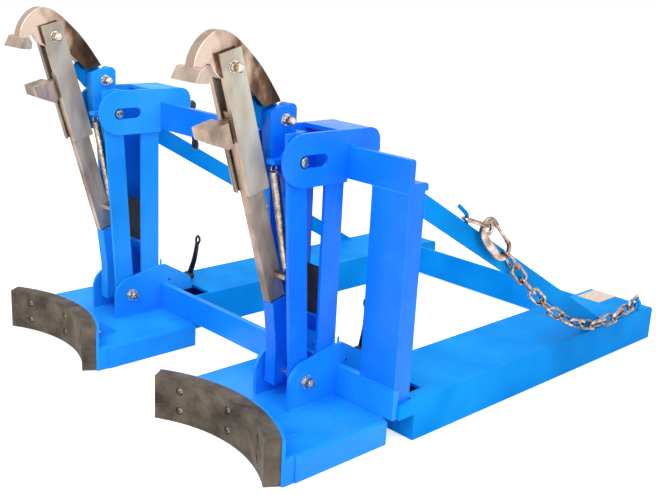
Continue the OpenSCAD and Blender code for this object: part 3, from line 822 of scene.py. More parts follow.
def refined(node: str, name: str, material: Material, edge: float) -> Piece:
    """A merged copy of a CAD node with eased edges, which stands for it.

    Args:
        node: the CAD node.
        name: the new piece's name.
        material: its finish.
        edge: radius of the eased edges in millimetres.

    Returns:
        The piece, riding on the node's body.
    """
    source = bpy.data.objects[node]
    bm = bmesh.new()
    bm.from_mesh(source.data)
    bmesh.ops.remove_doubles(bm, verts=bm.verts, dist=SAME_M)
    merge_below = math.radians(0.5)
    bmesh.ops.dissolve_limit(
        bm, angle_limit=merge_below, verts=bm.verts, edges=bm.edges, delimit={"NORMAL"}
    )
    # a face round a welded-on strip is a ring, which a bevel can fold over unless it is cut up
    if node.startswith(("column", "sleeve", "slider")):
        bmesh.ops.triangulate(bm, faces=[face for face in bm.faces if len(face.verts) > 4])
    piece = new_piece(name, bm, material, edge, EASED_ABOVE)
    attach(piece, source["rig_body"])
    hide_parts(node)
    return piece


# geometry trees


class Pattern(Graph):
    """A Geometry Nodes tree with named inputs, run once on a carrier mesh."""

    def __init__(self, name: str, **sizes: float) -> None:
        """Starts the tree.

        Args:
            name: the tree's name.
            sizes: named number inputs, in metres or counts, with their values.
        """
        super().__init__(bpy.data.node_groups.new(name, "GeometryNodeTree"))
        face = self.tree.interface
        face.new_socket("Geometry", in_out="INPUT", socket_type="NodeSocketGeometry")
        self.values = {}
        for key, value in sizes.items():
            socket = face.new_socket(key, in_out="INPUT", socket_type="NodeSocketFloat")
            self.values[socket.identifier] = value
        finish = face.new_socket("Material", in_out="INPUT", socket_type="NodeSocketMaterial")
        self.finish_key = finish.identifier
        face.new_socket("Geometry", in_out="OUTPUT", socket_type="NodeSocketGeometry")
        self.inputs = self.add("NodeGroupInput").outputs

    def times(self, value: Node | bpy.types.NodeSocket, factor: float) -> Node:
        """A size multiplied by a plain number."""
        return self.add("ShaderNodeMath", {0: value, 1: factor}, operation="MULTIPLY")

    def tube(self, course: Node, radius: str, sides: int, **inputs: Node | bool) -> Node:
        """A round bar along a curve.

        Args:
            course: the curve.
            radius: name of the tree's input that holds its radius.
            sides: faces round the bar.
            inputs: other inputs of the sweep, with _ for a space.

        Returns:
            The node whose first output is the bar.
        """
        size = {"Resolution": sides, "Radius": self.inputs[radius]}
        ring = self.add("GeometryNodeCurvePrimitiveCircle", size)
        named = {key.replace("_", " "): value for key, value in inputs.items()}
        return self.add("GeometryNodeCurveToMesh", {0: course, 1: ring, **named})

    def close(self, geometry: Node) -> None:
        """Ends the tree: instances made real, smooth, and given the material.

        Args:
            geometry: the node whose first output is the pattern.
        """
        real = self.add("GeometryNodeRealizeInstances", {0: geometry})
        smooth = self.add("GeometryNodeSetShadeSmooth", {0: real})
        dressed = self.add("GeometryNodeSetMaterial", {0: smooth, "Material": self.inputs["Material"]})
        self.add("NodeGroupOutput", {0: dressed})

    def on_points(self, shape: Node) -> None:
        """Ends the tree with a shape at each of the carrier's points, turned by the point's own turn.

        Args:
            shape: the node whose first output is the shape.
        """
        turn = self.add("GeometryNodeInputNamedAttribute", {"Name": "turn"}, data_type="FLOAT_VECTOR")
        euler = self.add("FunctionNodeEulerToRotation", {0: turn.outputs["Attribute"]})
        dots = self.add("GeometryNodeMeshToPoints", {0: self.inputs["Geometry"]})
        places = {"Points": dots, "Instance": shape, "Rotation": euler}
        self.close(self.add("GeometryNodeInstanceOnPoints", places))

    def run(self, name: str, carrier: Piece, material: Material) -> Piece:
        """Runs the tree on a carrier and returns a plain mesh in its place.

        Args:
            name: the piece's name.
            carrier: the object whose points or lines the pattern follows; it is removed.
            material: the finish.

        Returns:
            The finished piece.
        """
        modifier = carrier.modifiers.new(self.tree.name, "NODES")
        modifier.node_group = self.tree
        for key, value in {**self.values, self.finish_key: material}.items():
            modifier[key] = value
        graph = bpy.context.evaluated_depsgraph_get()
        mesh = bpy.data.meshes.new_from_object(carrier.evaluated_get(graph))
        mesh.name = name
        mesh.materials.clear()
        mesh.materials.append(material)
        bpy.data.objects.remove(carrier)
        return in_scene(name, mesh)


def carrier_of(points: list[Point], lines: list[tuple[int, int]], turns: list[Point] | None = None) -> Piece:
    """A bare mesh that a pattern follows.

    Args:
        points: truck-frame millimetres.
        lines: pairs of point numbers.
        turns: Euler turn at each point, kept as the attribute "turn".

    Returns:
        The carrier object.
    """
    mesh = bpy.data.meshes.new("carrier")
    mesh.from_pydata([tuple((Vector(p) + SHIFT) * MM) for p in points], lines, [])
    if turns is not None:
        layer = mesh.attributes.new("turn", "FLOAT_VECTOR", "POINT")
        for i, turn in enumerate(turns):
            layer.data[i].vector = turn
    return in_scene("carrier", mesh)


class WeldTree(Pattern):
    """A fillet weld along lines: a round bead whose size ripples as the torch moved."""

    def __init__(self, radius: float, ripple: float) -> None:
        """Builds the tree.

        Args:
            radius: of the bead, in millimetres.
            ripple: length of one ripple, in millimetres.
        """
        super().__init__("weld_bead", Radius=radius * MM, Ripple=ripple * MM)
        line = self.add("GeometryNodeMeshToCurve", {0: self.inputs["Geometry"]})
        step = self.times(self.inputs["Ripple"], 0.25)
        fine = self.add("GeometryNodeResampleCurve", {0: line, "Length": step}, mode="LENGTH")
        along = self.add("GeometryNodeSplineParameter").outputs["Length"]
        share = self.add("ShaderNodeMath", {0: along, 1: self.inputs["Ripple"]}, operation="DIVIDE")
        wave = self.add("ShaderNodeMath", {0: share}, operation="FRACT")
        noise = self.add("ShaderNodeTexNoise", {"Scale": 90.0, "Detail": 1.0})
        swell = self.add("ShaderNodeMapRange", {"Value": wave, "To Min": 0.86, "To Max": 1.08})
        span = {"Value": noise, "From Min": 0.3, "From Max": 0.7, "To Min": 0.85, "To Max": 1.12}
        wander = self.add("ShaderNodeMapRange", span)
        size = self.add("ShaderNodeMath", {0: swell, 1: wander}, operation="MULTIPLY")
        sized = self.add("GeometryNodeSetCurveRadius", {0: fine, "Radius": size})
        swollen = self.add("GeometryNodeInputRadius")
        self.close(self.tube(sized, "Radius", 8, Fill_Caps=True, Scale=swollen))


class SpringTree(Pattern):
    """A close-wound tension spring that stands on each point."""

    def __init__(self, turns: float, radius: float, wire: float, height: float) -> None:
        """Builds the tree.

        Args:
            turns: count of its turns.
            radius: of the winding, in millimetres.
            wire: radius of the wire, in millimetres.
            height: length of the winding, in millimetres.
        """
        lengths = {"Radius": radius * MM, "Wire": wire * MM, "Height": height * MM}
        super().__init__("tension_spring", Turns=turns, **lengths)
        sizes = {"Rotations": "Turns", "Start Radius": "Radius", "End Radius": "Radius", "Height": "Height"}
        winding = {key: self.inputs[size] for key, size in sizes.items()}
        coil = self.add("GeometryNodeCurveSpiral", {"Resolution": 16, **winding})
        self.on_points(self.tube(coil, "Wire", 8, Fill_Caps=True))


class LinkTree(Pattern):
    """Welded oval chain links, one at each point, turned by the point's own turn."""

    def __init__(self, wire: float, width: float, pitch: float) -> None:
        """Builds the tree.

        Args:
            wire: thickness of the wire, in millimetres.
            width: over the link, in millimetres.
            pitch: from link to link, in millimetres.
        """
        super().__init__("chain_links", Wire=wire / 2 * MM, Width=width * MM, Pitch=pitch * MM)
        bar = self.times(self.inputs["Wire"], 2.0)
        # the middle line is a rounded box: pitch + wire long, width - wire wide
        long_side = self.add("ShaderNodeMath", {0: self.inputs["Pitch"], 1: bar}, operation="ADD")
        short_side = self.add("ShaderNodeMath", {0: self.inputs["Width"], 1: bar}, operation="SUBTRACT")
        sides = {"Width": long_side, "Height": short_side}
        box = self.add("GeometryNodeCurvePrimitiveQuadrilateral", sides)
        # just under half, so that the two corners of an end don't meet
        corner = self.times(short_side, 0.499)
        oval = self.add("GeometryNodeFilletCurve", {0: box, "Count": 7, "Radius": corner}, mode="POLY")
        self.on_points(self.tube(oval, "Wire", 12))


class StudTree(Pattern):
    """A button-head screw at each point, its head standing along the point's own turn."""

    def __init__(self, radius: float, height: float) -> None:
        """Builds the tree.

        Args:
            radius: over its middle, in millimetres.
            height: along its axis, in millimetres.
        """
        super().__init__("button_heads", Radius=radius * MM, Height=height * MM)
        r, height_in = self.inputs["Radius"], self.inputs["Height"]
        dome = self.add("GeometryNodeMeshUVSphere", {"Segments": 20, "Rings": 10, "Radius": r})
        share = self.add("ShaderNodeMath", {0: height_in, 1: r}, operation="DIVIDE")
        size = self.add("ShaderNodeCombineXYZ", {0: 1.0, 1: 1.0, 2: share})
        low = self.add("GeometryNodeTransform", {0: dome, "Scale": size})
        key_width = self.times(r, 0.42)
        hole = self.add("GeometryNodeMeshCylinder", {"Vertices": 6, "Radius": key_width, "Depth": height_in})
        lift = self.add("ShaderNodeCombineXYZ", {2: height_in})
        raised = self.add("GeometryNodeTransform", {0: hole, "Translation": lift})
        self.on_points(self.add("GeometryNodeMeshBoolean", {0: low, 1: raised}))


class NutTree(Pattern):
    """A hexagon nut with the end of its screw at each point, standing along the point's own turn."""

    def __init__(self, radius: float, height: float) -> None:
        """Builds the tree.

        Args:
            radius: over its middle, in millimetres.
            height: along its axis, in millimetres.
        """
        super().__init__("hexagon_nuts", Radius=radius * MM, Height=height * MM)
        r, height_in = self.inputs["Radius"], self.inputs["Height"]
        core = self.times(r, 0.56)
        tip, depth = self.times(core, 0.78), self.times(height_in, 1.3)
        both = self.add("GeometryNodeJoinGeometry")
        for sides, foot, top, tall in ((6, r, r, height_in), (20, core, tip, depth)):
            sizes = {"Vertices": sides, "Radius Bottom": foot, "Radius Top": top, "Depth": tall}
            part = self.add("GeometryNodeMeshCone", sizes)
            self.tree.links.new(part.outputs[0], both.inputs[0])
        self.on_points(both)


# sub-assemblies


def dress(piece: Piece, body: str, slot: str, *nodes: str) -> Piece:
    """Puts a new piece on its body and in place of its CAD nodes.

    Args:
        piece: the piece.
        body: the body that it rides on.
        slot: not used.
        nodes: the CAD nodes that it stands for.

    Returns:
        The same piece.
    """
    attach(piece, body)
    if nodes:
        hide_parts(*nodes)
    log.info("%s rides on %s", piece.name, body)
    return piece


class Seams:
    """Weld lines that are laid together as one piece."""

    def __init__(self) -> None:
        """Starts with no line."""
        self.points: list[Point] = []
        self.lines: list[tuple[int, int]] = []

    def run(self, *points: Point) -> None:
        """Adds a line.

        Args:
            points: its points, in truck-frame millimetres.
        """
        first = len(self.points)
        self.points += points
        self.lines += [(first + i, first + i + 1) for i in range(len(points) - 1)]

    def weld(self, name: str, radius: float, ripple: float, coat: Material, body: str) -> None:
        """Lays the beads and puts them on their body.

        Args:
            name: the piece's name.
            radius: of the bead, in millimetres.
            ripple: length of one ripple, in millimetres.
            coat: the coat of the frame, which covers the beads too.
            body: the body that they ride on.
        """
        bead = WeldTree(radius, ripple).run(name, carrier_of(self.points, self.lines), coat)
        dress(bead, body, "blue_paint")


@dataclass
class TruckFrame:
    """Cross plates, posts, struts and fork sleeves, welded into one frame."""

    finishes: Finishes
    side_x: float = 425.0
    sleeve_in: float = 268.0
    post_depth: float = 50.0
    post_low: float = 431.0
    strut_t: float = 8.0
    strut_top: float = 474.0
    strut_deep: float = 44.0
    strut_fall: float = 0.57
    sleeve_top: float = 82.0
    rear_bar_y: float = 849.0
    cross_edges: Flat = (114.2, 477.8)
    cross_seam: Flat = (344.0, 430.0)
    sleeve_seam: Point = (426.0, 14.0, 56.0)
    edge: float = 1.4
    small_edge: float = 0.4

    def build(self) -> None:
        """Makes every fixed piece of the truck frame."""
        f = self.finishes
        coats = {"upper_cross_plate": f.deep_blue, "lower_cross_plate": f.blue}
        coats |= {"rear_cross_member": f.worn_blue, "post_right": f.deep_blue, "post_left": f.azure}
        coats |= {f"{name}_{side.tag}": f.worn_blue for name in ("strut", "sleeve") for side in Side}
        for node, coat in coats.items():
            refined(node, f"{node}_painted", coat, self.edge)
        for node in ("chain_hook", "chain_eye"):
            refined(node, f"{node}_painted", f.worn_blue, self.small_edge)
        refined("blank_plate", "blank_plate_satin", f.plate, self.small_edge)
        self.welds()

    def welds(self) -> None:
        """Lays the frame's weld beads."""
        seams = Seams()
        back, top = self.post_depth, self.sleeve_top
        foot = back + (self.strut_top - top) / self.strut_fall
        low = back + (self.strut_top - self.strut_deep - top) / self.strut_fall
        for s in (-1, 1):
            outer, inner = s * self.side_x, s * (self.side_x - self.strut_t)
            for x in (outer, inner):
                seams.run((x, back, self.post_low), (x, back, self.strut_top - 1))
            for x in (outer, inner):
                seams.run((x, low + 1, top), (x, foot - 1, top))
            near, far = (s * x for x in self.cross_seam)
            for z in self.cross_edges:
                seams.run((near, 0.8, z), (far, 0.8, z))
            bar = self.rear_bar_y
            seams.run((s * (self.sleeve_in - 5.5), bar, 8), (s * (self.sleeve_in - 1.2), bar, top - 2))
            x, y, z = self.sleeve_seam
            seams.run((s * x, y, z), (s * x, y, top - 2))
        seams.weld("frame_welds", radius=1.9, ripple=3.6, coat=self.finishes.blue, body="frame")


@dataclass
class SafetyChain:
    """Slack chain from the hook on the strut to the eye on the sleeve."""

    finishes: Finishes
    wire: float = 6.6
    width: float = 28.0
    pitch: float = 48.2
    count: int = 14
    out_x: float = 439.5
    rest_z: float = 95.0
    rest_y: float = 700.0
    turn_y: float = 740.0
    eye: Point = (420.0, 880.0, 107.5)
    hook: Point = (421.0, 173.1, 410.0)
    snap_mid: Point = (439.5, 251.5, 362.0)
    snap_dir: Point = (0.0, 0.728, -0.685)
    snap_half: float = 54.5
    snap_bar: float = 8.0
    snap_width: float = 45.0
    rest_rise: float = 0.02
    droop: float = 1.85
    eye_seat: float = 4.65
    top_seat: float = 1.3
    link_play: float = 0.4

    @property
    def reach(self) -> float:
        """From the snap hook's middle to the middle of the bar at its end."""
        return self.snap_half - self.snap_bar / 2

    @property
    def start_y(self) -> float:
        """Where the chain leaves the snap hook."""
        return self.snap_mid[1] + self.reach * self.snap_dir[1]

    def at(self, y: float) -> Point:
        """The chain's middle line at a place along Y.

        Args:
            y: the place, in millimetres.

        Returns:
            The point on the line.
        """
        drop = self.snap_mid[2] + self.reach * self.snap_dir[2] - self.rest_z
        if y >= self.rest_y:
            z = self.rest_z + self.rest_rise * (y - self.rest_y)
        else:
            share = (self.rest_y - y) / (self.rest_y - self.start_y)
            z = self.rest_z + drop * share**self.droop
        x = self.out_x
        if y > self.turn_y:
            x -= (self.out_x - self.eye[0]) * (y - self.turn_y) / (self.eye[1] - self.turn_y)
        return (x, y, z)

    def joints(self) -> list[Vector]:
        """Where each link meets the next."""
        y = self.start_y
        found = [Vector(self.at(y))]
        for _ in range(self.count - 1):
            guess = y + self.pitch * 0.75
            for _ in range(2):
                slope = (self.at(guess)[2] - self.at(y)[2]) / (guess - y)
                guess = y + self.pitch / math.sqrt(1 + slope * slope)
            y = guess
            found.append(Vector(self.at(y)))
        found.append(Vector((self.eye[0], self.eye[1] + self.eye_seat, self.eye[2])))
        return found

    def build(self) -> None:
        """Makes the links, the snap hook and its gate."""
        knots = self.joints()
        # the top link is seated a little deeper in the snap hook, as it comes in from the side
        seat = Vector(self.snap_mid) - (self.reach - self.top_seat) * Vector(self.snap_dir)
        top = (Vector(self.hook), seat)
        spans = [top, *zip(knots, knots[1:])]
        last = self.count - 1
        rolls = [0.0, *((i % 2) * 90 + 45 * math.sin(math.pi * i / last) for i in range(last)), 90]
        mids, turns = [], []
        for (a, b), roll in zip(spans, rolls):
            v = b - a
            turn = (
                Matrix.Rotation(math.atan2(v.y, v.x), 3, "Z")
                @ Matrix.Rotation(-math.atan2(v.z, math.hypot(v.x, v.y)), 3, "Y")
                @ Matrix.Rotation(math.radians(roll), 3, "X")
            )
            mids.append(tuple((a + b) / 2))
            turns.append(tuple(turn.to_euler()))
        tree = LinkTree(self.wire, self.width, self.pitch + self.link_play)
        links = tree.run("chain_links", carrier_of(mids, [], turns), self.finishes.zinc)
        dress(links, "frame", "zinc_plated", "safety_chain")
        self.snap()

    def snap(self) -> None:
        """Makes the forged snap hook with its eye, and its sprung gate."""
        r = (self.snap_width - self.snap_bar) / 2
        straight = self.snap_half - r
        turn = Matrix.Rotation(-math.atan2(-self.snap_dir[2], self.snap_dir[1]), 3, "X")

        def place(y: float, z: float) -> Vector:
            """A point of the hook's own plane, in the truck frame."""
            return Vector(self.snap_mid) + turn @ Vector((0, y, z))

        # (along, across, half width in the hook's plane, half thickness)
        line = [
            (-18, r, 3.4, 3.4), (-20, r, 4.6, 4.4), (-30, r + 0.4, 5.0, 4.8), (-44, r - 1.4, 5.4, 5.4),
            (-51.5, r - 7.5, 5.0, 5.8), (-54.3, 4.0, 4.2, 6.0), (-54.3, -6.0, 4.4, 6.0),
            (-50, -14.5, 6.2, 5.8), (-38, -r - 1.0, 8.2, 5.4), (-16, -r - 1.6, 9.2, 5.2),
            (8, -r - 1.2, 9.0, 5.2), (30, -r + 0.2, 8.0, 5.0), (44, -13.5, 6.8, 4.8), (52.6, -6.5, 4.8, 4.6),
            (54.6, 1.5, 4.0, 4.4), (51.5, 10.5, 4.2, 4.4), (44.5, 16.6, 4.3, 4.3), (38.6, r, 4.2, 4.2),
            (36.0, r, 3.6, 3.6),
        ]  # fmt: skip
        course = spline([(y, z, 0.0) for y, z, _, _ in line], 4)
        sizes = spline([(wide, thick, 0.0) for _, _, wide, thick in line], 4)
        thick, wide = [q.y for q in sizes], [q.x for q in sizes]
        bm = bmesh.new()
        sweep(bm, [place(p.x, p.y) for p in course], thick, 20, wide=wide, square=0.72)
        # the eye that the top link passes through
        angles = [math.pi * k / 14 for k in range(29)]
        eye = [place(-41.5 - 12.6 * math.cos(a), -1.5 + 12.6 * math.sin(a)) for a in angles]
        sweep(bm, eye, [4.6] * len(eye), 14, wide=[3.9] * len(eye), square=0.8)
        body = finish_mesh("snap_hook_body", bm, self.finishes.forged, sharp=60)
        dress(body, "frame", "zinc_plated", "snap_hook")
        bm = bmesh.new()
        across, along = turn @ Vector((1, 0, 0)), turn @ Vector((0, 1, 0))
        knuckle = place(straight - 4.4, r) - turn @ Vector((4, 0, 0))
        lathe(bm, knuckle, across, [(0, 3.2), (0.7, 4), (7.3, 4), (8, 3.2)], 24)
        bar = [(0, 2.4), (1.2, 3.3), (straight + 10, 3.4), (straight + 12, 3.0)]
        lathe(bm, place(-16.6, r), along, bar, 20)
        gate = finish_mesh("snap_hook_gate", bm, self.finishes.forged)
        dress(gate, "gate_body", "zinc_plated", "snap_gate")


@dataclass
class Gripper:
    """One drum gripper: head, lug, column, base, pad, arm, beak, guide and slider."""

    finishes: Finishes
    side: Side
    drum_y: float = -520.0
    pad_r: float = 298.0
    pad_t: float = 30.0
    band_t: float = 6.0
    base_top: float = 50.0
    plate_out: float = 52.0
    plate_t: float = 8.0
    beak_half: float = 12.0
    claw_half: float = 35.0
    spring_x: float = 12.0
    spring_top: Flat = (-143.0, 512.0)
    spring_foot: Flat = (-102.0, 306.3)
    spring_r: float = 7.15
    spring_wire: float = 1.05
    spring_turns: float = 84.0
    lever_y: float = 118.0
    pad_screw_turns: Point = (-23.0, 0.0, 23.0)
    pad_screw_rows: Flat = (24.0, 64.0)
    pad_screw_sunk: float = 4.4

    @property
    def arm(self) -> str:
        """The body of the arm."""
        return self.name("arm_body")

    def x(self, offset: float) -> float:
        """X of a point by its offset from the gripper's middle."""
        return self.side.value + offset

    def name(self, what: str) -> str:
        """The side's name for a piece."""
        return f"{what}_{self.side.tag}"

    def turned(self, bm: Mesh, offset: float, centre: Flat, profile: list[Flat], sides: int = 28) -> None:
        """Adds a turned body along X from an offset."""
        lathe(bm, (self.x(offset), *centre), (1, 0, 0), profile, sides)

    def nut(self, bm: Mesh, offset: float, centre: Flat, across: float, height: float) -> None:
        """Adds a hexagon along X from an offset."""
        hexagon(bm, (self.x(offset), *centre), (1, 0, 0), across, height)

    def build(self) -> None:
        """Makes every piece of the gripper."""
        f = self.finishes
        right = self.side is Side.RIGHT
        plain, deep = (f.blue, f.deep_blue) if right else (f.azure, f.azure)
        rims_painted_shade = ("guide", "slider")
        for node, new, coat, edge, slot in (
            ("head_plates", "head_plates_painted", deep, 1.4, "blue_paint"),
            ("lug_plates", "lug_plates_painted", plain, 1.4, "blue_paint"),
            ("column", "column_painted", deep, 1.4, "blue_paint"),
            ("base_tray", "base_tray_painted", plain, 1.4, "blue_paint"),
            ("pad_band", "pad_band_painted", plain, 1.0, "blue_paint"),
            ("arm", "arm_painted", deep, 1.6, "blue_paint"),
            ("guide", "guide_steel", f.pale, 0.9, "polished_steel"),
            ("slider", "slider_steel", f.pale, 0.9, "polished_steel"),
            ("lower_jaw", "lower_jaw_steel", f.rubbed, 1.6, "polished_steel"),
            # the buffer gets the darker rubber, painted shade
            ("buffer", "buffer_rubber", f.buffer, 1.5, "black_rubber"),
            ("rubber_pad", "belly_pad", f.pad, 1.8, "pad_rubber"),
        ):
            piece = refined(self.name(node), self.name(new), coat, edge)
            # the guide's and slider's rims get the darker rubbed steel: painted shade
            if node in rims_painted_shade:
                rim_finish(piece, f.rubbed)
        self.beak()
        self.bolts()
        self.spring()
        self.pad_screws()
        self.welds()
        self.clamp_screw(Screw.LOWER, 5.0 if right else 19.0)
        self.clamp_screw(Screw.UPPER, 168.0)

    def beak(self) -> None:
        """Hooked plate, its cross claw and its tail."""
        rim = [
            (-299.5, 671), (-298, 684), (-293.5, 698), (-286, 711), (-276.5, 722), (-265, 731.2),
            (-252.5, 736.6), (-240, 737.2), (-226, 733.2), (-212, 725.6), (-196, 713.2), (-180, 699),
            (-163, 682.6), (-146, 662.8), (-130, 641.6), (-120, 627.4), (-112.5, 616),
        ]  # fmt: skip
        low = [(-150, 608), on_guide(186, 47), on_guide(203, 42.6), on_guide(203, 6), on_guide(222, -8)]
        hollow = [on_guide(230, -10), (-262, 680), (-269, 684), (-275, 681), (-279, 672), (-284, 655.6)]
        outline = [*flat_spline(rim, 4), *low, *flat_spline(hollow, 5), (-297, 655.5)]
        toe = [
            (-311, 657, 1.5), (-300, 655.8, 4), (-284, 655, 2), (-281.5, 668, 3), (-289, 681, 6),
            (-299.5, 678, 5),
        ]  # fmt: skip
        tail = [
            (-110, 612, 6), (-96, 596, 8), (-96, 578, 8), (-112, 566, 8), (-140, 566, 8), (-156, 584, 4),
            (-172, 606, 3), (-160, 630, 3), (-130, 640, 6),
        ]  # fmt: skip
        f = self.finishes
        half, claw_half = self.beak_half, self.claw_half
        blanks = []
        for what, shape, start, end, finish, edge in (
            ("beak", outline, -half, half, f.smoked, 1.2),
            ("claw", rounded(toe), -claw_half, claw_half, f.bright, 1.8),
            ("tail", rounded(tail), -half - 0.5, -half + 7.5, f.worn_blue, 1.2),
        ):
            bm = bmesh.new()
            outline_plate(bm, shape, self.x(BEAK_X + start), self.x(BEAK_X + end))
            blanks.append(finish_mesh(f"{what}_blank", bm, finish, edge, 40))
        # the rim gets a darker, browner copy of the steel: painted shade on the faces turned away from the
        # two sides
        rim_finish(blanks[0], f.rim)
        made = join_meshes(self.name("beak_steel"), *blanks)
        dress(made, self.arm, "polished_steel", self.name("beak"))

    def through_bolt(self, what: str, centre: Flat, left: float, right: float, gap: float) -> None:
        """Makes a bolt along X: head at the left, washers, and a nut on a free shank at the right.

        Args:
            what: its CAD node without the side.
            centre: (y, z) of its axis.
            left: offset of the clamped pack's left face.
            right: offset of its right face.
            gap: free shank between the right washer and the nut.
        """
        end = right - left + gap + 14
        bm = bmesh.new()
        self.turned(bm, left - 3, centre, [(0, 6), (end, 6), (end + 1.4, 4.6)])
        self.turned(bm, right, centre, [(0, 10.6), (0.4, 11), (2.6, 11), (3, 10.6)])
        shank = finish_mesh("shank_blank", bm, self.finishes.pin)
        bm = bmesh.new()
        self.nut(bm, left - 9, centre, 20, 6.6)
        self.turned(bm, left - 2.4, centre, [(0, 10), (2.4, 10)])
        self.turned(bm, right + gap, centre, [(0, 8.4), (1.2, 9), (1.8, 9)])
        self.nut(bm, right + gap + 1.6, centre, 17.4, 7.6)
        nut = finish_mesh("nut_blank", bm, self.finishes.bolt, sharp=30)
        made = join_meshes(self.name(f"{what}_steel"), shank, nut)
        dress(made, self.arm, "bolt_steel", self.name(what))

    def bolts(self) -> None:
        """Arm bolt, beak bolt, pivot pin and slot pin."""
        self.through_bolt("arm_bolt", ARM_BOLT, BEAK_X - 12.5, BEAK_X + 20.5, 9.4)
        self.through_bolt("beak_bolt", BEAK_BOLT, BEAK_X - 22, BEAK_X + 22, 8.6)
        out = self.plate_out
        bm = bmesh.new()
        self.turned(bm, -out - 8, PIVOT, [(0, 7.6), (1.4, 9), (2 * out + 24, 9)], 36)
        self.turned(bm, out + 0.3, PIVOT, [(0, 13.6), (0.4, 14), (2.8, 14), (3.2, 13.6)], 36)
        self.turned(bm, -out - 7, PIVOT, [(0, 11.4), (0.6, 12), (4.4, 12), (5, 11.4)], 36)
        pin = finish_mesh("pin_blank", bm, self.finishes.pin)
        bm = bmesh.new()
        self.nut(bm, out + 5.4, PIVOT, 21, 10)
        self.turned(bm, out + 15, PIVOT, [(0, 8.6), (2.2, 7.4), (2.9, 5.2)])
        nut = finish_mesh("pin_nut_blank", bm, self.finishes.bolt, sharp=30)
        made = join_meshes(self.name("pivot_pin_steel"), pin, nut)
        dress(made, "frame", "bolt_steel", self.name("pivot_pin"))
        bm = bmesh.new()
        long = 2 * out
        profile = [(0, 7.4), (0.8, 8.6), (2, 9), (long - 0.4, 9), (long + 0.9, 8.7), (long + 1.8, 7.4)]
        self.turned(bm, -out - 0.8, SLOT_PIN, profile, 36)
        slot_pin = finish_mesh(self.name("slot_pin_steel"), bm, self.finishes.greased)
        dress(slot_pin, self.arm, "bolt_steel", self.name("slot_pin"))

    def spring(self) -> None:
        """Close-wound lift spring with a hook at each end."""
        finish = self.finishes.spring
        top, foot = (Vector((self.x(self.spring_x), *end)) for end in (self.spring_top, self.spring_foot))
        axis, length = (top - foot).normalized(), (top - foot).length
        # the coil starts and ends this far from the two eyes
        tail, hook_r = 13.0, 5.8
        tree = SpringTree(self.spring_turns, self.spring_r, self.spring_wire, length - 2 * tail)
        turn = axis.to_track_quat("Z", "Y").to_euler()
        coil = tree.run("coil_blank", carrier_of([tuple(foot + axis * tail)], [], [tuple(turn)]), finish)
        bm = bmesh.new()
        side = axis.cross(Vector((1, 0, 0))).normalized()
        for end, way in ((foot, 1.0), (top, -1.0)):
            path = []
            for k in range(15):
                a = 2 * math.pi * k / 14 * 0.92 + 0.25
                path.append(end + axis * way * (7.6 - hook_r * math.cos(a)) + side * hook_r * math.sin(a))
            sweep(bm, path, [1.28] * len(path), 8)
        made = join_meshes(self.name("spring_wire"), coil, finish_mesh("spring_hooks_blank", bm, finish))
        start, end = (tuple((p + SHIFT) * MM) for p in (top - axis * 12, foot + axis * 12))
        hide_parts(self.name("spring"))
        self.arm
        self.name("slider_body")
        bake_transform(made)
        log.info("%s stretches between arm and slider", made.name)

    def pad_screws(self) -> None:
        """Screw heads sunk in the belly pad, and their nuts behind the band."""
        heads, nuts, turns_in, turns_out = [], [], [], []
        for degrees in self.pad_screw_turns:
            a = math.radians(degrees)
            ray = Vector((-math.sin(a), math.cos(a), 0))
            for z in self.pad_screw_rows:
                centre = Vector((self.x(0), self.drum_y, z))
                heads.append(tuple(centre + ray * (self.pad_r + self.pad_screw_sunk)))
                nuts.append(tuple(centre + ray * (self.pad_r + self.pad_t + self.band_t)))
                turns_in.append(tuple((-ray).to_track_quat("Z", "Y").to_euler()))
                turns_out.append(tuple(ray.to_track_quat("Z", "Y").to_euler()))
        f = self.finishes
        caps = StudTree(radius=7.6, height=3.6).run("cap_blank", carrier_of(heads, [], turns_in), f.dusty)
        ends = NutTree(radius=7.0, height=4.0).run("nut_blank", carrier_of(nuts, [], turns_out), f.zinc)
        for piece in (caps, ends):
            piece.data.set_sharp_from_angle(angle=math.radians(40))
        made = join_meshes(self.name("pad_screw_heads"), caps, ends)
        dress(made, "frame", "zinc_plated", self.name("pad_screws"))

    def welds(self) -> None:
        """Weld beads round the column, lug, head, band and gussets, and on the arm."""
        seams = Seams()
        top = self.base_top
        for s in (-1, 1):
            x, inner = self.x(s * self.plate_out), self.x(s * (self.plate_out - self.plate_t))
            seams.run((x, -119, top), (x, -2, top))
            seams.run((x, -0.2, 160), (x, -0.2, 172))
            seams.run((inner, -0.2, 480), (inner, -0.2, 500))
            for edge in (-3, 3):
                gusset = self.x(s * 120 + edge)
                seams.run((gusset, -208, top), (gusset, -162, top))
            seams.run((x, 3, 538.4), (x, 13, 538.4))
        r = self.pad_r + self.pad_t + self.band_t
        angles = [math.radians(-31.2 + 3.9 * k) for k in range(17)]
        seams.run(*((self.x(-r * math.sin(a)), self.drum_y + r * math.cos(a), top) for a in angles))
        coat = self.finishes.blue
        seams.weld(self.name("gripper_welds"), radius=2.4, ripple=4.0, coat=coat, body="frame")
        seams = Seams()
        for x in (BEAK_X - 4.8, BEAK_X + 20.8):
            seams.run(*((self.x(x), *on_arm(398, fore)) for fore in (32, -5)))
        seams.weld(self.name("arm_welds"), radius=2.0, ripple=3.8, coat=coat, body=self.arm)

    def clamp_screw(self, which: Screw, rest: float) -> None:
        """Clamp screw with its forged lever and eyelet.

        Args:
            which: the screw.
            rest: turn of the lever about Y at rest, in degrees.
        """
        height, lever, bar = which.value
        turn = Matrix.Rotation(math.radians(rest), 3, "Y")
        base = Vector((self.x(0), 0, height))

        def place(x: float, y: float, z: float) -> Vector:
            """A point of the lever at rest, in the truck frame."""
            return base + Vector((0, y, 0)) + turn @ Vector((x, 0, z))

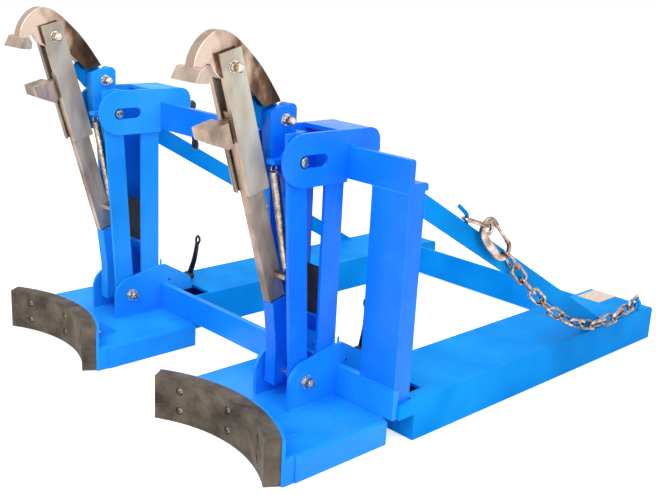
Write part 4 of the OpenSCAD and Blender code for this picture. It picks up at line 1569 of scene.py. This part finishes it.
        bm = bmesh.new()
        crest, root = 7.9, 6.9
        profile = [(14.5, 6.8), (15.5, crest)]
        for k in range(21):
            h = 62 + 2.0 * k
            profile += [(h, crest), (h + 1.0, root)]
        profile += [(104.5, crest), (127, crest), (128, 7.0)]
        lathe(bm, base, (0, 1, 0), profile)
        lathe(bm, base, (0, 1, 0), [(107, 10.6), (109, 12), (123, 12), (125, 11), (127, 9)])
        y = self.lever_y
        bends = [(0, y, 4), (2.0, y, 26), (4.2, y - 0.4, 50)]
        bends += [(3.6, y - 0.8, lever - 42), (0.6, y - 0.4, lever - 21)]
        path = [place(*p) for p in spline(bends)]
        sweep(bm, path, [7.4 - 2.2 * i / (len(path) - 1) for i in range(len(path))], 14, 0.82)
        angles = [2 * math.pi * k / 24 for k in range(25)]
        ring = [place(6.8 * math.sin(a), y, lever - 12.6 - 9.6 * math.cos(a)) for a in angles]
        sweep(bm, ring, [bar] * len(ring))
        what = which.name.lower()
        made = finish_mesh(self.name(f"{what}_lever"), bm, self.finishes.lever, sharp=50)
        dress(made, self.name(f"{what}_screw_body"), "black_lever", self.name(f"{what}_screw"))


@dataclass
class Studio:
    """White floor, soft light and the camera."""

    centre: Point = (0.0, 0.0, 0.3)
    floor_half: float = 14.0
    floor_under: float = 0.0008
    floor_grey: float = 0.86
    floor_glow: float = 0.52
    sky_light: float = 0.62
    camera_at: Point = (1462.7, -1184.8, 832.9)
    azimuth: float = 45.9
    elevation: float = 16.2
    roll: float = 3.0
    lens_px: float = 943.2
    frame_px: int = 656
    sensor_mm: float = 36.0

    def build(self) -> None:
        """Sets up the whole studio."""
        self.floor()
        self.world()
        self.lights()
        self.camera()
        bpy.context.scene.view_settings.view_transform = "Standard"

    def floor(self) -> None:
        """Lays the floor, white to the eye and to gloss."""
        mesh = bpy.data.meshes.new("studio_floor")
        h = self.floor_half
        mesh.from_pydata([(-h, -h, 0), (h, -h, 0), (h, h, 0), (-h, h, 0)], [], [(0, 1, 2, 3)])
        floor = in_scene("studio_floor", mesh)
        floor.location.z = -self.floor_under
        material = bpy.data.materials.new("white_floor")
        material.use_nodes = True
        g = Graph(material.node_tree)
        matt = g.add("ShaderNodeBsdfDiffuse", {"Color": (*[self.floor_grey] * 3, 1)})
        path = g.add("ShaderNodeLightPath").outputs
        rays = {0: path["Is Camera Ray"], 1: path["Is Glossy Ray"]}
        seen = g.add("ShaderNodeMath", rays, operation="MAXIMUM")
        glow = g.add("ShaderNodeMath", {0: seen, 1: self.floor_glow}, operation="MULTIPLY")
        shine = g.add("ShaderNodeEmission", {"Strength": glow})
        both = g.add("ShaderNodeAddShader", {0: matt, 1: shine})
        g.add("ShaderNodeOutputMaterial", {0: both})
        mesh.materials.append(material)

    def world(self) -> None:
        """White surroundings for the eye and for gloss, softer for light."""
        world = bpy.data.worlds.new("studio")
        bpy.context.scene.world = world
        world.use_nodes = True
        g = Graph(world.node_tree)
        path = g.add("ShaderNodeLightPath").outputs
        rays = {0: path["Is Camera Ray"], 1: path["Is Transmission Ray"]}
        seen = g.add("ShaderNodeMath", rays, operation="MAXIMUM")
        gloss = g.add("ShaderNodeMath", {0: seen, 1: path["Is Glossy Ray"]}, operation="MAXIMUM")
        strength = g.add("ShaderNodeMapRange", {"Value": gloss, "To Min": self.sky_light})
        sky = g.add("ShaderNodeBackground", {"Color": (1, 1, 1, 1), "Strength": strength})
        g.add("ShaderNodeOutputWorld", {0: sky})

    def lights(self) -> None:
        """Soft boxes above, in front and at the right."""
        for name, place, power, size in (
            ("key_box", (0.9, -2.6, 2.7), 62.0, 2.2),
            ("top_box", (-0.3, 0.4, 3.4), 46.0, 2.6),
            ("right_box", (3.1, -0.3, 1.5), 26.0, 1.8),
        ):
            lamp = bpy.data.lights.new(name, "AREA")
            lamp.energy, lamp.size = power, size
            made = in_scene(name, lamp)
            made.location = place
            aim = Vector(self.centre) - Vector(place)
            made.rotation_euler = aim.to_track_quat("-Z", "Y").to_euler()

    def camera(self) -> None:
        """Stands where the photograph was taken."""
        az, el, roll = (math.radians(a) for a in (self.azimuth, self.elevation, self.roll))
        back = Vector((math.sin(az) * math.cos(el), -math.cos(az) * math.cos(el), math.sin(el)))
        level = (-back).cross(Vector((0, 0, 1))).normalized()
        up = level.cross(-back)
        right = math.cos(roll) * level + math.sin(roll) * up
        top = -math.sin(roll) * level + math.cos(roll) * up
        data = bpy.data.cameras.new("camera")
        data.lens, data.sensor_width = self.lens_px / self.frame_px * self.sensor_mm, self.sensor_mm
        data.clip_end = 60.0
        made = in_scene("camera", data)
        turn = Matrix((right, top, back)).transposed().to_4x4()
        made.matrix_world = Matrix.Translation((Vector(self.camera_at) + SHIFT) * MM) @ turn
        bpy.context.scene.camera = made


def main() -> None:
    """Builds the gripper piece by piece and the studio round it."""
    logging.basicConfig(level=logging.INFO, format="%(name)s: %(message)s")
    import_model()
    Studio().build()
    finishes = Finishes()
    TruckFrame(finishes).build()
    SafetyChain(finishes).build()
    for side in Side:
        Gripper(finishes, side).build()


if __name__ == "__main__":
    main()
